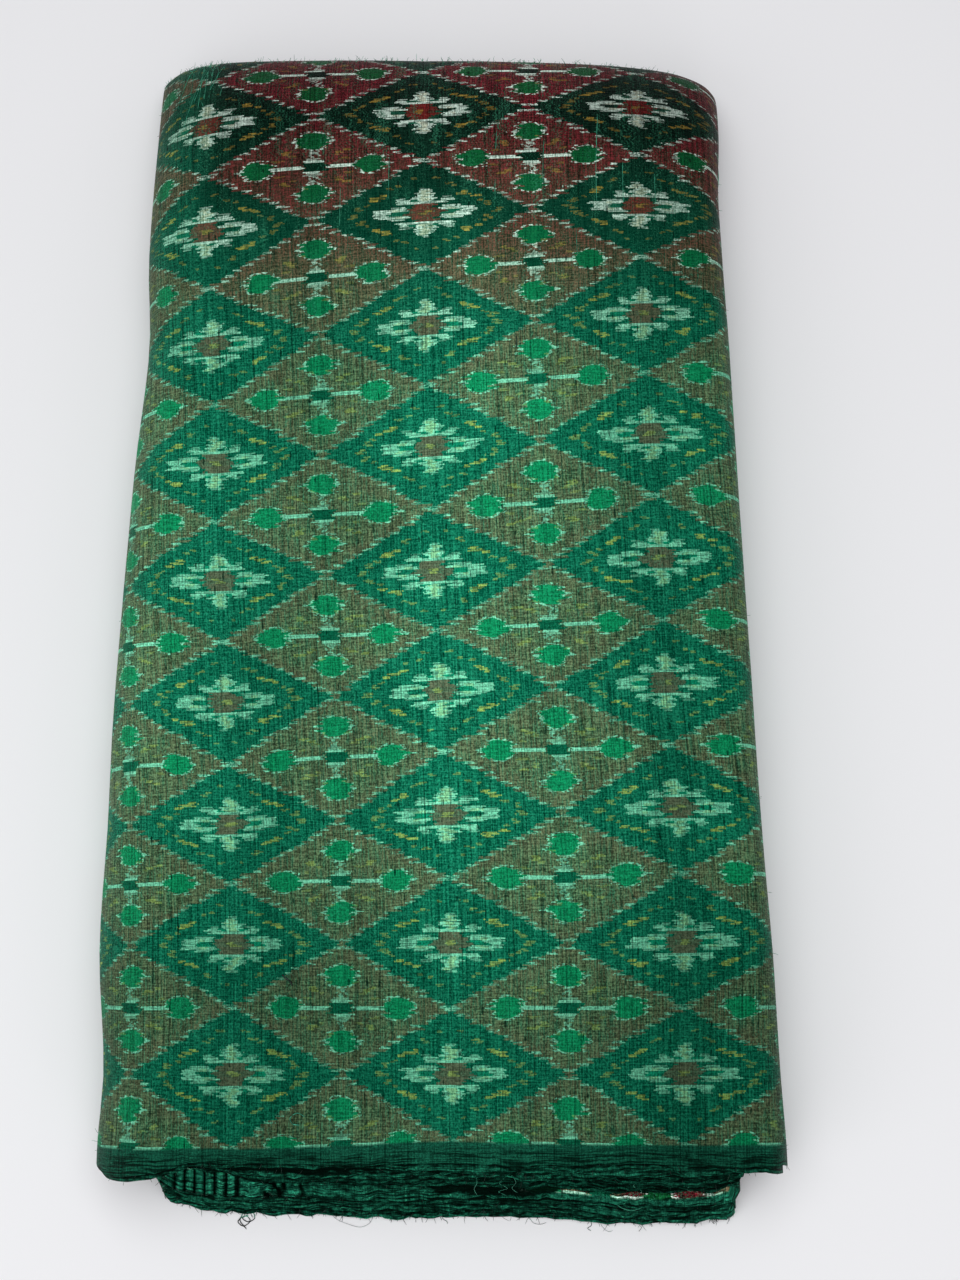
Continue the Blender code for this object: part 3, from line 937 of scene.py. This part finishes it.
def ikatMaterial():
    look = ikatSilk
    material = bpy.data.materials.new("ikatTussarSilk")
    material.use_nodes = True
    tree = material.node_tree
    shader = tree.nodes["Principled BSDF"]
    mapped = addNode(tree, "UVMap", (), uv_map="clothMap")[0]
    parts = addNode(tree, "SeparateXYZ", (mapped,))
    across, along = parts["X"], parts["Y"]
    slipped, drifted, rowHeight = slippedCoordinates(tree, across, along)
    shown = {}
    for name, settings in look["noises"].items():
        shown[name] = threadNoise(tree, across, along, *settings)
    for name, settings in look["slippedNoises"].items():
        shown[name] = threadNoise(tree, slipped, along, *settings)

    # Warp threads, picks and the grain that they give
    ofPicks, ofSpecks = look["grainShares"]
    grain = addNode(tree, "Mix", {0: ofPicks, 2: shown["warp"], 3: shown["weft"]})[0]
    grain = addNode(tree, "Mix", {0: ofSpecks, 2: grain, 3: shown["speck"]})[0]
    grain = addNode(tree, "MapRange", (grain, *look["grainRange"], 0.0, 1.0))[0]

    # The painted sheen shift of the shot silk to its other colour comes thread by thread
    turned = addNode(tree, "Attribute", (), attribute_name="paintedSheenShift")["Fac"]
    uneven = addNode(tree, "Math", (grain, 0.5), operation="SUBTRACT")[0]
    uneven = addNode(tree, "Math", (shown["patch"], look["shotPatches"], uneven), operation="MULTIPLY_ADD")[0]
    few = addNode(tree, "Math", (turned, 0.5), operation="PINGPONG")[0]
    paintedSheenShift = addNode(tree, "Math", (uneven, few, turned), operation="MULTIPLY_ADD", use_clamp=True)[0]
    colours = {}
    for name, (near, far) in look["colours"].items():
        colours[name] = addNode(tree, "Mix", {0: paintedSheenShift, 6: linear(near), 7: linear(far)}, data_type="RGBA")[2]

    # Both diamonds are folded to a quarter, counted out from their own middles
    halfAcross, halfAlong = lattice["acrossRepeat"] / 2, lattice["alongRepeat"] / 2
    starAcross = addNode(tree, "Math", (slipped, halfAcross), operation="PINGPONG")[0]
    starAlong = addNode(tree, "Math", (drifted, halfAlong), operation="PINGPONG")[0]
    brownAcross = addNode(tree, "Math", (halfAcross, starAcross), operation="SUBTRACT")[0]
    brownAlong = addNode(tree, "Math", (halfAlong, starAlong), operation="SUBTRACT")[0]
    starRow = wholeSteps(tree, starAlong, rowHeight)
    brownRow = wholeSteps(tree, brownAlong, rowHeight)

    # The stepped border: two rows to a step, with a light dash in one of them
    pair = wholeSteps(tree, starAlong, rowHeight * 2)
    shrink, widest = -2 / lattice["threadRows"], 1 - 1 / lattice["threadRows"]
    share = addNode(tree, "Math", (pair, shrink, widest), operation="MULTIPLY_ADD")[0]
    border = addNode(tree, "Math", (share, halfAcross), operation="MULTIPLY")[0]
    isStar = addNode(tree, "Math", (starAcross, border), operation="LESS_THAN")[0]
    isBrown = addNode(tree, "Math", (1.0, isStar), operation="SUBTRACT")[0]
    halfDash, faintest = look["dash"]
    dash = addNode(tree, "Math", (starAcross, border, halfDash), operation="COMPARE")[0]
    oddRow = addNode(tree, "Math", (starRow, 2.0), operation="MODULO")[0]
    patchy = addNode(tree, "MapRange", (shown["patchy"], 0.0, 1.0, faintest, 1.0))[0]
    worn = addNode(tree, "Math", (shown["worn"], patchy), operation="MULTIPLY")[0]
    for factor in (oddRow, worn):
        dash = addNode(tree, "Math", (dash, factor), operation="MULTIPLY")[0]

    # The brown is redder near its border and in patches, and green threads stray into it
    outer = addNode(tree, "Math", (starAcross, border), operation="SUBTRACT")[0]
    outer = addNode(tree, "MapRange", (outer, *look["rustAtBorder"]))[0]
    inPatches, overAll = look["rustShare"]
    rusty = addNode(tree, "Math", (shown["rusty"], inPatches, outer), operation="MULTIPLY_ADD", use_clamp=True)[0]
    rusty = addNode(tree, "Math", (rusty, overAll), operation="MULTIPLY")[0]
    stray = addNode(tree, "Math", (shown["stray"], look["strayShare"]), operation="MULTIPLY")[0]
    green = {0: grain, 6: colours["greenDark"], 7: colours["greenLight"]}
    green = addNode(tree, "Mix", green, data_type="RGBA")[2]
    brown = {0: grain, 6: colours["brownDark"], 7: colours["brownLight"]}
    colour = addNode(tree, "Mix", brown, data_type="RGBA")[2]
    for mask, over in ((rusty, colours["rust"]), (stray, green), (isStar, green)):
        colour = addNode(tree, "Mix", {0: mask, 6: colour, 7: over}, data_type="RGBA")[2]

    # Lay the motifs over the ground, one colour over another; the light ones are worn into slivers
    slivers = addNode(tree, "MapRange", (shown["slivers"], 0.0, 1.0, look["sliverLeast"], 1.0))[0]
    layers = [("mint", dash, None)]
    for place in ovals["places"]:
        rim = ovalMask(tree, brownAcross, brownAlong, place, [h * ovals["rim"] for h in ovals["half"]])
        rim = addNode(tree, "Math", (rim, shown["ticks"]), operation="MULTIPLY")[0]
        tail = ovalMask(tree, brownAcross, brownAlong, place, ovals["tail"])
        tail = addNode(tree, "Math", (tail, slivers), operation="MULTIPLY")[0]
        whole = ovalMask(tree, brownAcross, brownAlong, place, ovals["half"])
        layers += [("mint", rim, isBrown), ("mint", tail, isBrown), ("oval", whole, isBrown)]
    start, end, halfHeight = ovals["link"]
    link = addNode(tree, "Math", (brownAcross, (start + end) / 2, (end - start) / 2), operation="COMPARE")[0]
    thin = addNode(tree, "Math", (brownAlong, halfHeight), operation="LESS_THAN")[0]
    link = addNode(tree, "Math", (link, thin), operation="MULTIPLY")[0]
    layers.append(("mint", link, isBrown))
    for span in brownChart:
        layers.append((span[0], spanMask(tree, brownRow, brownAcross, span), isBrown))
    for span in starChart:
        mask = spanMask(tree, starRow, starAcross, span)
        worn = {"mint": slivers, "yellow": slivers, "slot": shown["someStars"]}.get(span[0])
        if worn is not None:
            mask = addNode(tree, "Math", (mask, worn), operation="MULTIPLY")[0]
        layers.append((span[0], mask, isStar))
    for name, mask, within in layers:
        if within is not None:
            mask = addNode(tree, "Math", (mask, within), operation="MULTIPLY")[0]
        colour = addNode(tree, "Mix", {0: mask, 6: colour, 7: colours[name]}, data_type="RGBA")[2]

    # The plain selvedge, and painted shade in dark wavy lines across it, where it has puckered
    above, below = look["bandEdge"]
    band = addNode(tree, "MapRange", (drifted, -halfAlong - above, -halfAlong + below, 1.0, 0.0))[0]
    colour = addNode(tree, "Mix", {0: band, 6: colour, 7: colours["selvedge"]}, data_type="RGBA")[2]
    lowFrom, lowTo, low, high = look["puckerShadeFrom"]
    lower = addNode(tree, "MapRange", (along, -halfAlong - lowFrom, -halfAlong - lowTo, low, high))[0]
    puckerShadeLines = shown["puckerShadeLines"]
    for factor in (lower, band):
        puckerShadeLines = addNode(tree, "Math", (puckerShadeLines, factor), operation="MULTIPLY")[0]

    # Slubs: long dark and light streaks along the bolt, and a few short knots; then the painted shade of the
    # pucker lines
    dark, whereShot, elsewhere, knots = look["slubShares"]
    light = addNode(tree, "Math", (paintedSheenShift, whereShot, elsewhere), operation="MULTIPLY_ADD")[0]
    for name, mask, amount in (
        ("slubDark", shown["darkSlub"], dark), ("slubLight", shown["lightSlub"], light),
        ("slubDark", shown["knot"], knots), ("gap", puckerShadeLines, look["puckerShadeShare"]),
    ):
        mask = addNode(tree, "Math", (mask, amount), operation="MULTIPLY")[0]
        colour = addNode(tree, "Mix", {0: mask, 6: colour, 7: colours[name]}, data_type="RGBA")[2]

    # The grain, the wide stripes, the painted light and shade in the tone attribute and the crushed edges darken
    # and lighten every colour
    value = addNode(tree, "MapRange", (grain, 0.0, 1.0, *look["contrast"]))[0]
    least, most = 1 - look["stripe"], 1 + look["stripe"]
    stripes = addNode(tree, "MapRange", (shown["stripes"], 0.0, 1.0, least, most))[0]
    tone = addNode(tree, "Attribute", (), attribute_name="tone")["Fac"]
    under = addNode(tree, "Attribute", (), attribute_name="under")["Fac"]
    folded = addNode(tree, "MapRange", (under, *look["foldedEdges"], 0.0, 1.0))[0]
    mottled = addNode(tree, "MapRange", (shown["mottled"], 0.0, 1.0, *look["mottling"]))[0]
    mottled = addNode(tree, "Mix", {0: folded, 2: 1.0, 3: mottled})[0]
    for factor in (stripes, tone, mottled):
        value = addNode(tree, "Math", (value, factor), operation="MULTIPLY")[0]
    colour = addNode(tree, "VectorMath", {0: colour, "Scale": value}, operation="SCALE")[0]

    # Painted shade: hardly any light gets in between the folded edges, so the cloth is painted near black where
    # one covers it
    unevenly = (shown["broken"], look["shadeUnderEdgesUnevenly"], under)
    under = addNode(tree, "Math", unevenly, operation="MULTIPLY_ADD")[0]
    start, end, blackest = look["shadeUnderEdges"]
    under = addNode(tree, "MapRange", (under, start, end, 0.0, blackest))[0]
    colour = addNode(tree, "Mix", {0: under, 6: colour, 7: colours["gap"]}, data_type="RGBA")[2]
    tree.links.new(colour, shader.inputs["Base Color"])

    # Ribs, threads and slubs stand up a little
    ribs = addNode(tree, "Math", (along, 2 * math.pi / look["ribPitch"]), operation="MULTIPLY")[0]
    ribs = addNode(tree, "Math", (shown["waver"], look["ribWaver"], ribs), operation="MULTIPLY_ADD")[0]
    ribs = addNode(tree, "Math", (ribs,), operation="SINE")[0]
    height = grain
    for part, share in ((ribs, look["ribHeight"]), (shown["darkSlub"], look["slubHeight"])):
        height = addNode(tree, "Math", (part, share, height), operation="MULTIPLY_ADD")[0]
    bump = addNode(tree, "Bump", {"Height": height, "Distance": look["bump"] * mm, "Strength": 1.0})[0]
    tree.links.new(bump, shader.inputs["Normal"])
    roughest, smoothest = look["roughness"] + look["glossSpread"], look["roughness"] - look["glossSpread"]
    gloss = addNode(tree, "MapRange", (grain, 0.0, 1.0, roughest, smoothest))[0]
    tree.links.new(gloss, shader.inputs["Roughness"])
    shader.inputs["IOR"].default_value = look["ior"]
    shader.inputs["Specular IOR Level"].default_value = look["specular"]
    shader.inputs["Specular Tint"].default_value = linear(look["specularTint"])
    shader.inputs["Sheen Weight"].default_value = look["sheen"]
    shader.inputs["Sheen Roughness"].default_value = look["sheenRoughness"]
    shader.inputs["Sheen Tint"].default_value = linear(look["sheenTint"])
    print("bolt: silk has", len(tree.nodes), "nodes")
    return material


silk = ikatMaterial()
for piece in (wrap, stack):
    piece.data.materials.append(silk)
    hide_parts("cloth_bolt")
    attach(piece, "root")


# Loose ends of silk thread, spun by hand: thin, matt and a little lighter than the cloth
looseSilk = {"darkest": "#02140d", "dark": "#06382a", "middle": "#106b54", "light": "#41ad8a", "roughness": 0.7}

fuzz = {
    "radius": 0.09,
    "length": (0.8, 4.2),
    "nearStack": 160,
    "lowest": 260,           # along the lowest edge, against the table
    "nearWrap": 50,
    "far": 900,
    "farTuft": 150,          # a tuft at the left end of the far fold
    "tuftThreads": 22,
    "sides": 26,
}

# Longer threads, given one by one, from an edge or from the top: where they start, and their points from there
strays = [
    # x, run of the stack, thickness, points
    (-90.0, 0, 0.25, [(0, 3, 0), (-1.6, -1.2, -0.6), (-3.0, -3.4, -1.0), (-0.4, -5.2, -1.2), (2.6, -3.0, -1.0),
                      (0.6, -0.8, -0.4), (-2.2, -2.6, -0.8), (1.0, -6.6, -1.4)]),
    (-87.0, 0, 0.25, [(0, 3, 0), (1.8, -1.8, -0.8), (-1.2, -3.6, -1.2), (-3.8, -1.8, -0.8), (-1.0, -0.6, -0.2)]),
    (-52.0, 0, 0.08, [(0, 1, 0), (3.0, -2.0, -1.0), (9.0, -4.4, -1.4), (14.0, -5.4, -1.4), (18.0, -3.6, -1.4),
                      (17.4, -1.8, -1.4)]),
    (-1.0, 0, 0.15, [(0, 1, 0), (1.4, -1.2, -0.6), (2.8, -2.0, -1.0), (3.4, -3.2, -1.2)]),
    (40.0, 0, 0.1, [(0, 1, 0), (2.0, -2.2, -1.0), (5.4, -3.0, -1.4), (8.0, -2.2, -1.4)]),
    (67.0, 0, 0.16, [(0, 1, 0), (0.8, -2.2, -1.0), (-1.0, -3.6, -1.2), (0.6, -4.6, -1.4)]),
    (70.0, 0, 0.08, [(0, 1, 0), (1.8, -3.0, -1.0), (4.4, -5.0, -1.4), (6.4, -4.6, -1.4)]),
    (84.0, 4, 0.16, [(-5, 1, 1.8), (-2.0, -1.0, 1.6), (2.0, -2.0, 1.4), (5.0, -1.4, 1.6), (7.0, -0.6, 1.8)]),
    (17.0, 9, 0.1, [(0, 1, 0.6), (0.6, -2.4, -3.0), (-0.6, -5.4, -10.0), (0.8, -8.6, -17.0)]),
    (26.0, 8, 0.1, [(0, 1, 0.6), (-1.8, -1.4, -2.0), (1.6, -3.6, -6.0), (-2.2, -5.4, -11.0), (1.2, -7.2, -14.0)]),
    (32.0, 9, 0.1, [(0, 1, 0.6), (1.8, -2.2, -4.0), (0.2, -5.2, -11.0), (2.6, -7.4, -16.0)]),
    (88.0, 9, 0.12, [(0, 1, 0.6), (-2.4, -2.0, -4.0), (1.6, -4.6, -9.0), (-2.0, -6.6, -14.0), (2.4, -8.6, -19.0)]),
    (110.0, 10, 0.1, [(0, 1, 0.6), (0.8, -2.4, -4.0), (-0.8, -4.6, -9.0), (1.8, -6.0, -13.0)]),
]

# On the top: a curl of thread near the edge, and two dark knots
topThreads = [
    # x, y, thickness, light, points from there
    (-61.0, -228.6, 0.26, True, [(4, 1.6, 0), (1, 3.1, 0.9), (-2, 1.1, 0.8), (-1, -1.4, 0.3), (2, -1.9, 0)]),
    (-67.0, -174.0, 0.42, False, [(-1.6, 1.8, 0), (0, 0.4, 0.3), (1.8, -1.0, 0.2), (2.6, -2.8, 0)]),
    (33.0, 118.0, 0.3, False, [(0, 2.4, 0), (0.2, 0, 0.2), (0, -3.0, 0)]),
]


# Light threads pulled up along the top near the far fold: x, from and to y, thickness
pulledThreads = [
    (72.4, 186.0, 229.0, 0.16), (85.0, 178.0, 200.0, 0.13), (98.0, 176.0, 196.0, 0.12),
    (25.6, 212.0, 218.0, 0.14), (26.2, 180.0, 192.0, 0.13), (48.0, 196.0, 214.0, 0.12),
    (-24.0, 182.0, 206.0, 0.12), (-46.0, 168.0, 190.0, 0.12), (62.0, 150.0, 176.0, 0.12),
]


# A thread that lies on the wrap's outer ply, from one place along it to another
def alongTop(x, fromY, toY):
    row = min(overTop, key=lambda row: abs(row[50]["place"].x - x))
    onTop = [item["place"] for item in row[:62] if fromY - 5 < item["place"].y < toY + 5]
    return softened([place + Vector((0.0, 0.0, detail["ply"] / 2 + 0.1)) for place in onTop], 2)


# Threads of the tuft at the far left corner, combed down over the fold
def tuftThreads():
    threads = []
    starts = [i for i, row in enumerate(overTop) if -120 < row[60]["place"].x < -102]
    for number in range(fuzz["tuftThreads"]):
        start, length = random.choice(starts), random.randint(2, 4)
        first = random.randint(56, 62)
        side = random.choice((0, 0, 1))
        combed = [overTop[start + side * s][first - 2 * s]["place"] for s in range(length)]
        lifted = [place + Vector((0.0, 0.2, 0.6 - 0.1 * s)) for s, place in enumerate(combed)]
        threads.append((softened(lifted, 3), random.uniform(0.1, 0.18)))
    return threads


def tube(vertices, faces, points, radius):
    start = len(vertices)
    for index, point in enumerate(points):
        before, after = points[max(index - 1, 0)], points[min(index + 1, len(points) - 1)]
        onward = (after - before).normalized()
        side = onward.orthogonal().normalized()
        other = onward.cross(side)
        thin = radius * (1.0 if index < len(points) - 1 else 0.5)
        for corner in range(3):
            angle = 2 * math.pi * corner / 3
            place = point + side * (thin * math.cos(angle)) + other * (thin * math.sin(angle))
            place.z = max(place.z, 0.05)
            vertices.append(place)
    for index in range(len(points) - 1):
        for corner in range(3):
            a, b = start + index * 3 + corner, start + index * 3 + (corner + 1) % 3
            faces.append((a, b, b + 3, a + 3))
    end = start + (len(points) - 1) * 3
    faces.append((start + 2, start + 1, start))
    faces.append((end, end + 1, end + 2))


# A few given points become a smooth thread
def softened(points, between):
    smooth = []
    for index in range(len(points) - 1):
        a, b = points[index], points[index + 1]
        before, after = points[max(index - 1, 0)], points[min(index + 2, len(points) - 1)]
        for step in range(between):
            t = step / between
            smooth.append((
                a * 2 + (b - before) * t + (before * 2 - a * 5 + b * 4 - after) * t**2
                + (a * 3 - before - b * 3 + after) * t**3
            ) / 2)
    return smooth + [points[-1]]


def makeThreads(name, threads, dark, light):
    vertices, faces = [], []
    for points, radius in threads:
        tube(vertices, faces, points, radius)
    middle = Vector((*bolt["middle"], 0.0))
    mesh = bpy.data.meshes.new(name)
    mesh.from_pydata([(v - middle) * mm for v in vertices], [], faces)
    mesh.shade_smooth()
    item = bpy.data.objects.new(name, mesh)
    bpy.context.scene.collection.objects.link(item)
    material = bpy.data.materials.new(name + "Silk")
    material.use_nodes = True
    tree = material.node_tree
    shader = tree.nodes["Principled BSDF"]
    place = addNode(tree, "TexCoord", ())["Object"]
    tone = addNode(tree, "TexNoise", {"Vector": place, "Scale": 400.0})[0]
    tone = addNode(tree, "MapRange", {0: tone, 1: 0.35, 2: 0.65, 3: 0.0, 4: 1.0})[0]
    mixed = addNode(tree, "Mix", {0: tone, 6: linear(dark), 7: linear(light)}, data_type="RGBA")[2]
    tree.links.new(mixed, shader.inputs["Base Color"])
    shader.inputs["Roughness"].default_value = looseSilk["roughness"]
    mesh.materials.append(material)
    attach(item, "root")
    return item


# Short hairs of silk, each from a random one of some items of the cloth, curling as they go
def fuzzThreads(items, count, outward):
    threads = []
    for number in range(count):
        start = random.choice(items)["place"].copy()
        out = Vector((random.uniform(-0.9, 0.9), random.uniform(-0.9, 0.9), random.uniform(-0.7, 0.6)))
        out = (out * 0.9 + Vector(outward) * 1.3).normalized()
        length = random.uniform(*fuzz["length"]) * random.uniform(0.4, 1.0)
        curl = Vector((random.uniform(-1, 1), random.uniform(-0.4, 0.4), random.uniform(-1, 0.6)))
        points = []
        for step in range(4):
            t = step / 3
            points.append(start + out * length * t + curl * length * 0.5 * t * t)
        threads.append((points, fuzz["radius"]))
    return threads


def strayThreads():
    light, dark = [], []
    for x, run, radius, points in strays:
        rows = [row for row in stackRows + wrapRows if row[0]["level"] == run]
        start = min((row[0]["place"] for row in rows), key=lambda place: abs(place.x - x))
        light.append((softened([start + Vector(p) for p in points], 4), radius))
    for x, y, radius, isLight, points in topThreads:
        onTop = [item["place"] for row in wrapRows for item in row[:62] if item["place"].z > 40.0]
        start = min(onTop, key=lambda place: math.hypot(place.x - x, place.y - y))
        lifted = [start + Vector(p) + Vector((0, 0, detail["ply"] / 2 + radius * 0.5)) for p in points]
        (light if isLight else dark).append((softened(lifted, 4), radius))
    return light, dark


towards, away, left, right = (0, -1, 0), (0, 1, 0), (-1, 0, 0.2), (1, 0, 0.2)
overTop = [row for row in wrapRows if row[0]["place"].z > 20.0]
edgeThreads = fuzzThreads([item for row in stackRows for item in (row[0], row[-1])], fuzz["nearStack"], towards)
edgeThreads += fuzzThreads([item for row in overTop for item in (row[0], row[-1])], fuzz["nearWrap"], towards)
lowestRows = [row for row in stackRows + wrapRows[-90:] if row[0]["level"] < 1.5 and row[0]["place"].z < 8.0]
edgeThreads += fuzzThreads([item for row in lowestRows for item in (row[0], row[-1])], fuzz["lowest"], towards)
edgeFuzz = makeThreads("edgeFuzz", edgeThreads, looseSilk["darkest"], looseSilk["dark"])
foldItems = [item for row in overTop for item in row[48:66]]
farThreads = fuzzThreads([item for item in foldItems if item["place"].y > 262], fuzz["far"], away)
farThreads += fuzzThreads([item for item in foldItems if -124 < item["place"].x < -104], fuzz["farTuft"], away)
sideItems = [item for row in wrapRows for item in row[:60] if 18 < item["place"].z < 60]
farThreads += fuzzThreads([item for item in sideItems if item["place"].x < -130], fuzz["sides"], left)
farThreads += fuzzThreads([item for item in sideItems if item["place"].x > 120], fuzz["sides"], right)
farFuzz = makeThreads("farFuzz", farThreads, looseSilk["dark"], looseSilk["light"])
lightStrays, darkStrays = strayThreads()
lightStrays += tuftThreads()
lightStrays += [(alongTop(x, fromY, toY), radius) for x, fromY, toY, radius in pulledThreads]
besideFold = [max((row[k]["place"] for row in wrapRows), key=lambda place: place.x) for k in range(38, 57, 3)]
lightStrays.append((softened([place + Vector((0.35, 0.0, 0.6)) for place in besideFold], 4), 0.3))
looseThreads = makeThreads("looseThreads", lightStrays, looseSilk["middle"], looseSilk["light"])
silkKnots = makeThreads("silkKnots", darkStrays, "#010b07", looseSilk["dark"])
print("bolt: threads added")


# Pale floor and soft studio light
studio = {
    "floor": "#f1f1f4",
    "floorSize": 6.0,
    "world": "#ffffff",
    "worldStrength": 0.33,
    "lights": [
        # name, place, size, watts
        ("overhead", (-0.02, 0.02, 1.7), 1.1, 16.4),
        ("fill", (-0.9, -1.0, 1.3), 1.2, 5.0),
        ("near", (0.35, -1.2, 0.6), 0.8, 1.9),
    ],
}


def makeStudio():
    half = studio["floorSize"] / 2
    mesh = bpy.data.meshes.new("floor")
    mesh.from_pydata([(-half, -half, 0), (half, -half, 0), (half, half, 0), (-half, half, 0)], [], [(0, 1, 2, 3)])
    floor = bpy.data.objects.new("floor", mesh)
    floor.location.z = -0.0003
    bpy.context.scene.collection.objects.link(floor)
    material = bpy.data.materials.new("paleLaminate")
    material.use_nodes = True
    shader = material.node_tree.nodes["Principled BSDF"]
    shader.inputs["Base Color"].default_value = linear(studio["floor"])
    shader.inputs["Roughness"].default_value = 0.6
    mesh.materials.append(material)
    for name, place, size, watts in studio["lights"]:
        data = bpy.data.lights.new(name, "AREA")
        data.size = size
        data.energy = watts
        light = bpy.data.objects.new(name, data)
        light.location = place
        light.rotation_euler = (Vector((0, 0, 0)) - Vector(place)).to_track_quat("-Z", "Y").to_euler()
        bpy.context.scene.collection.objects.link(light)
    world = bpy.data.worlds.new("studio")
    world.use_nodes = True
    background = world.node_tree.nodes["Background"]
    background.inputs["Color"].default_value = linear(studio["world"])
    background.inputs["Strength"].default_value = studio["worldStrength"]
    bpy.context.scene.world = world
    bpy.context.scene.view_settings.view_transform = "Standard"


makeStudio()
print("bolt: studio ready")
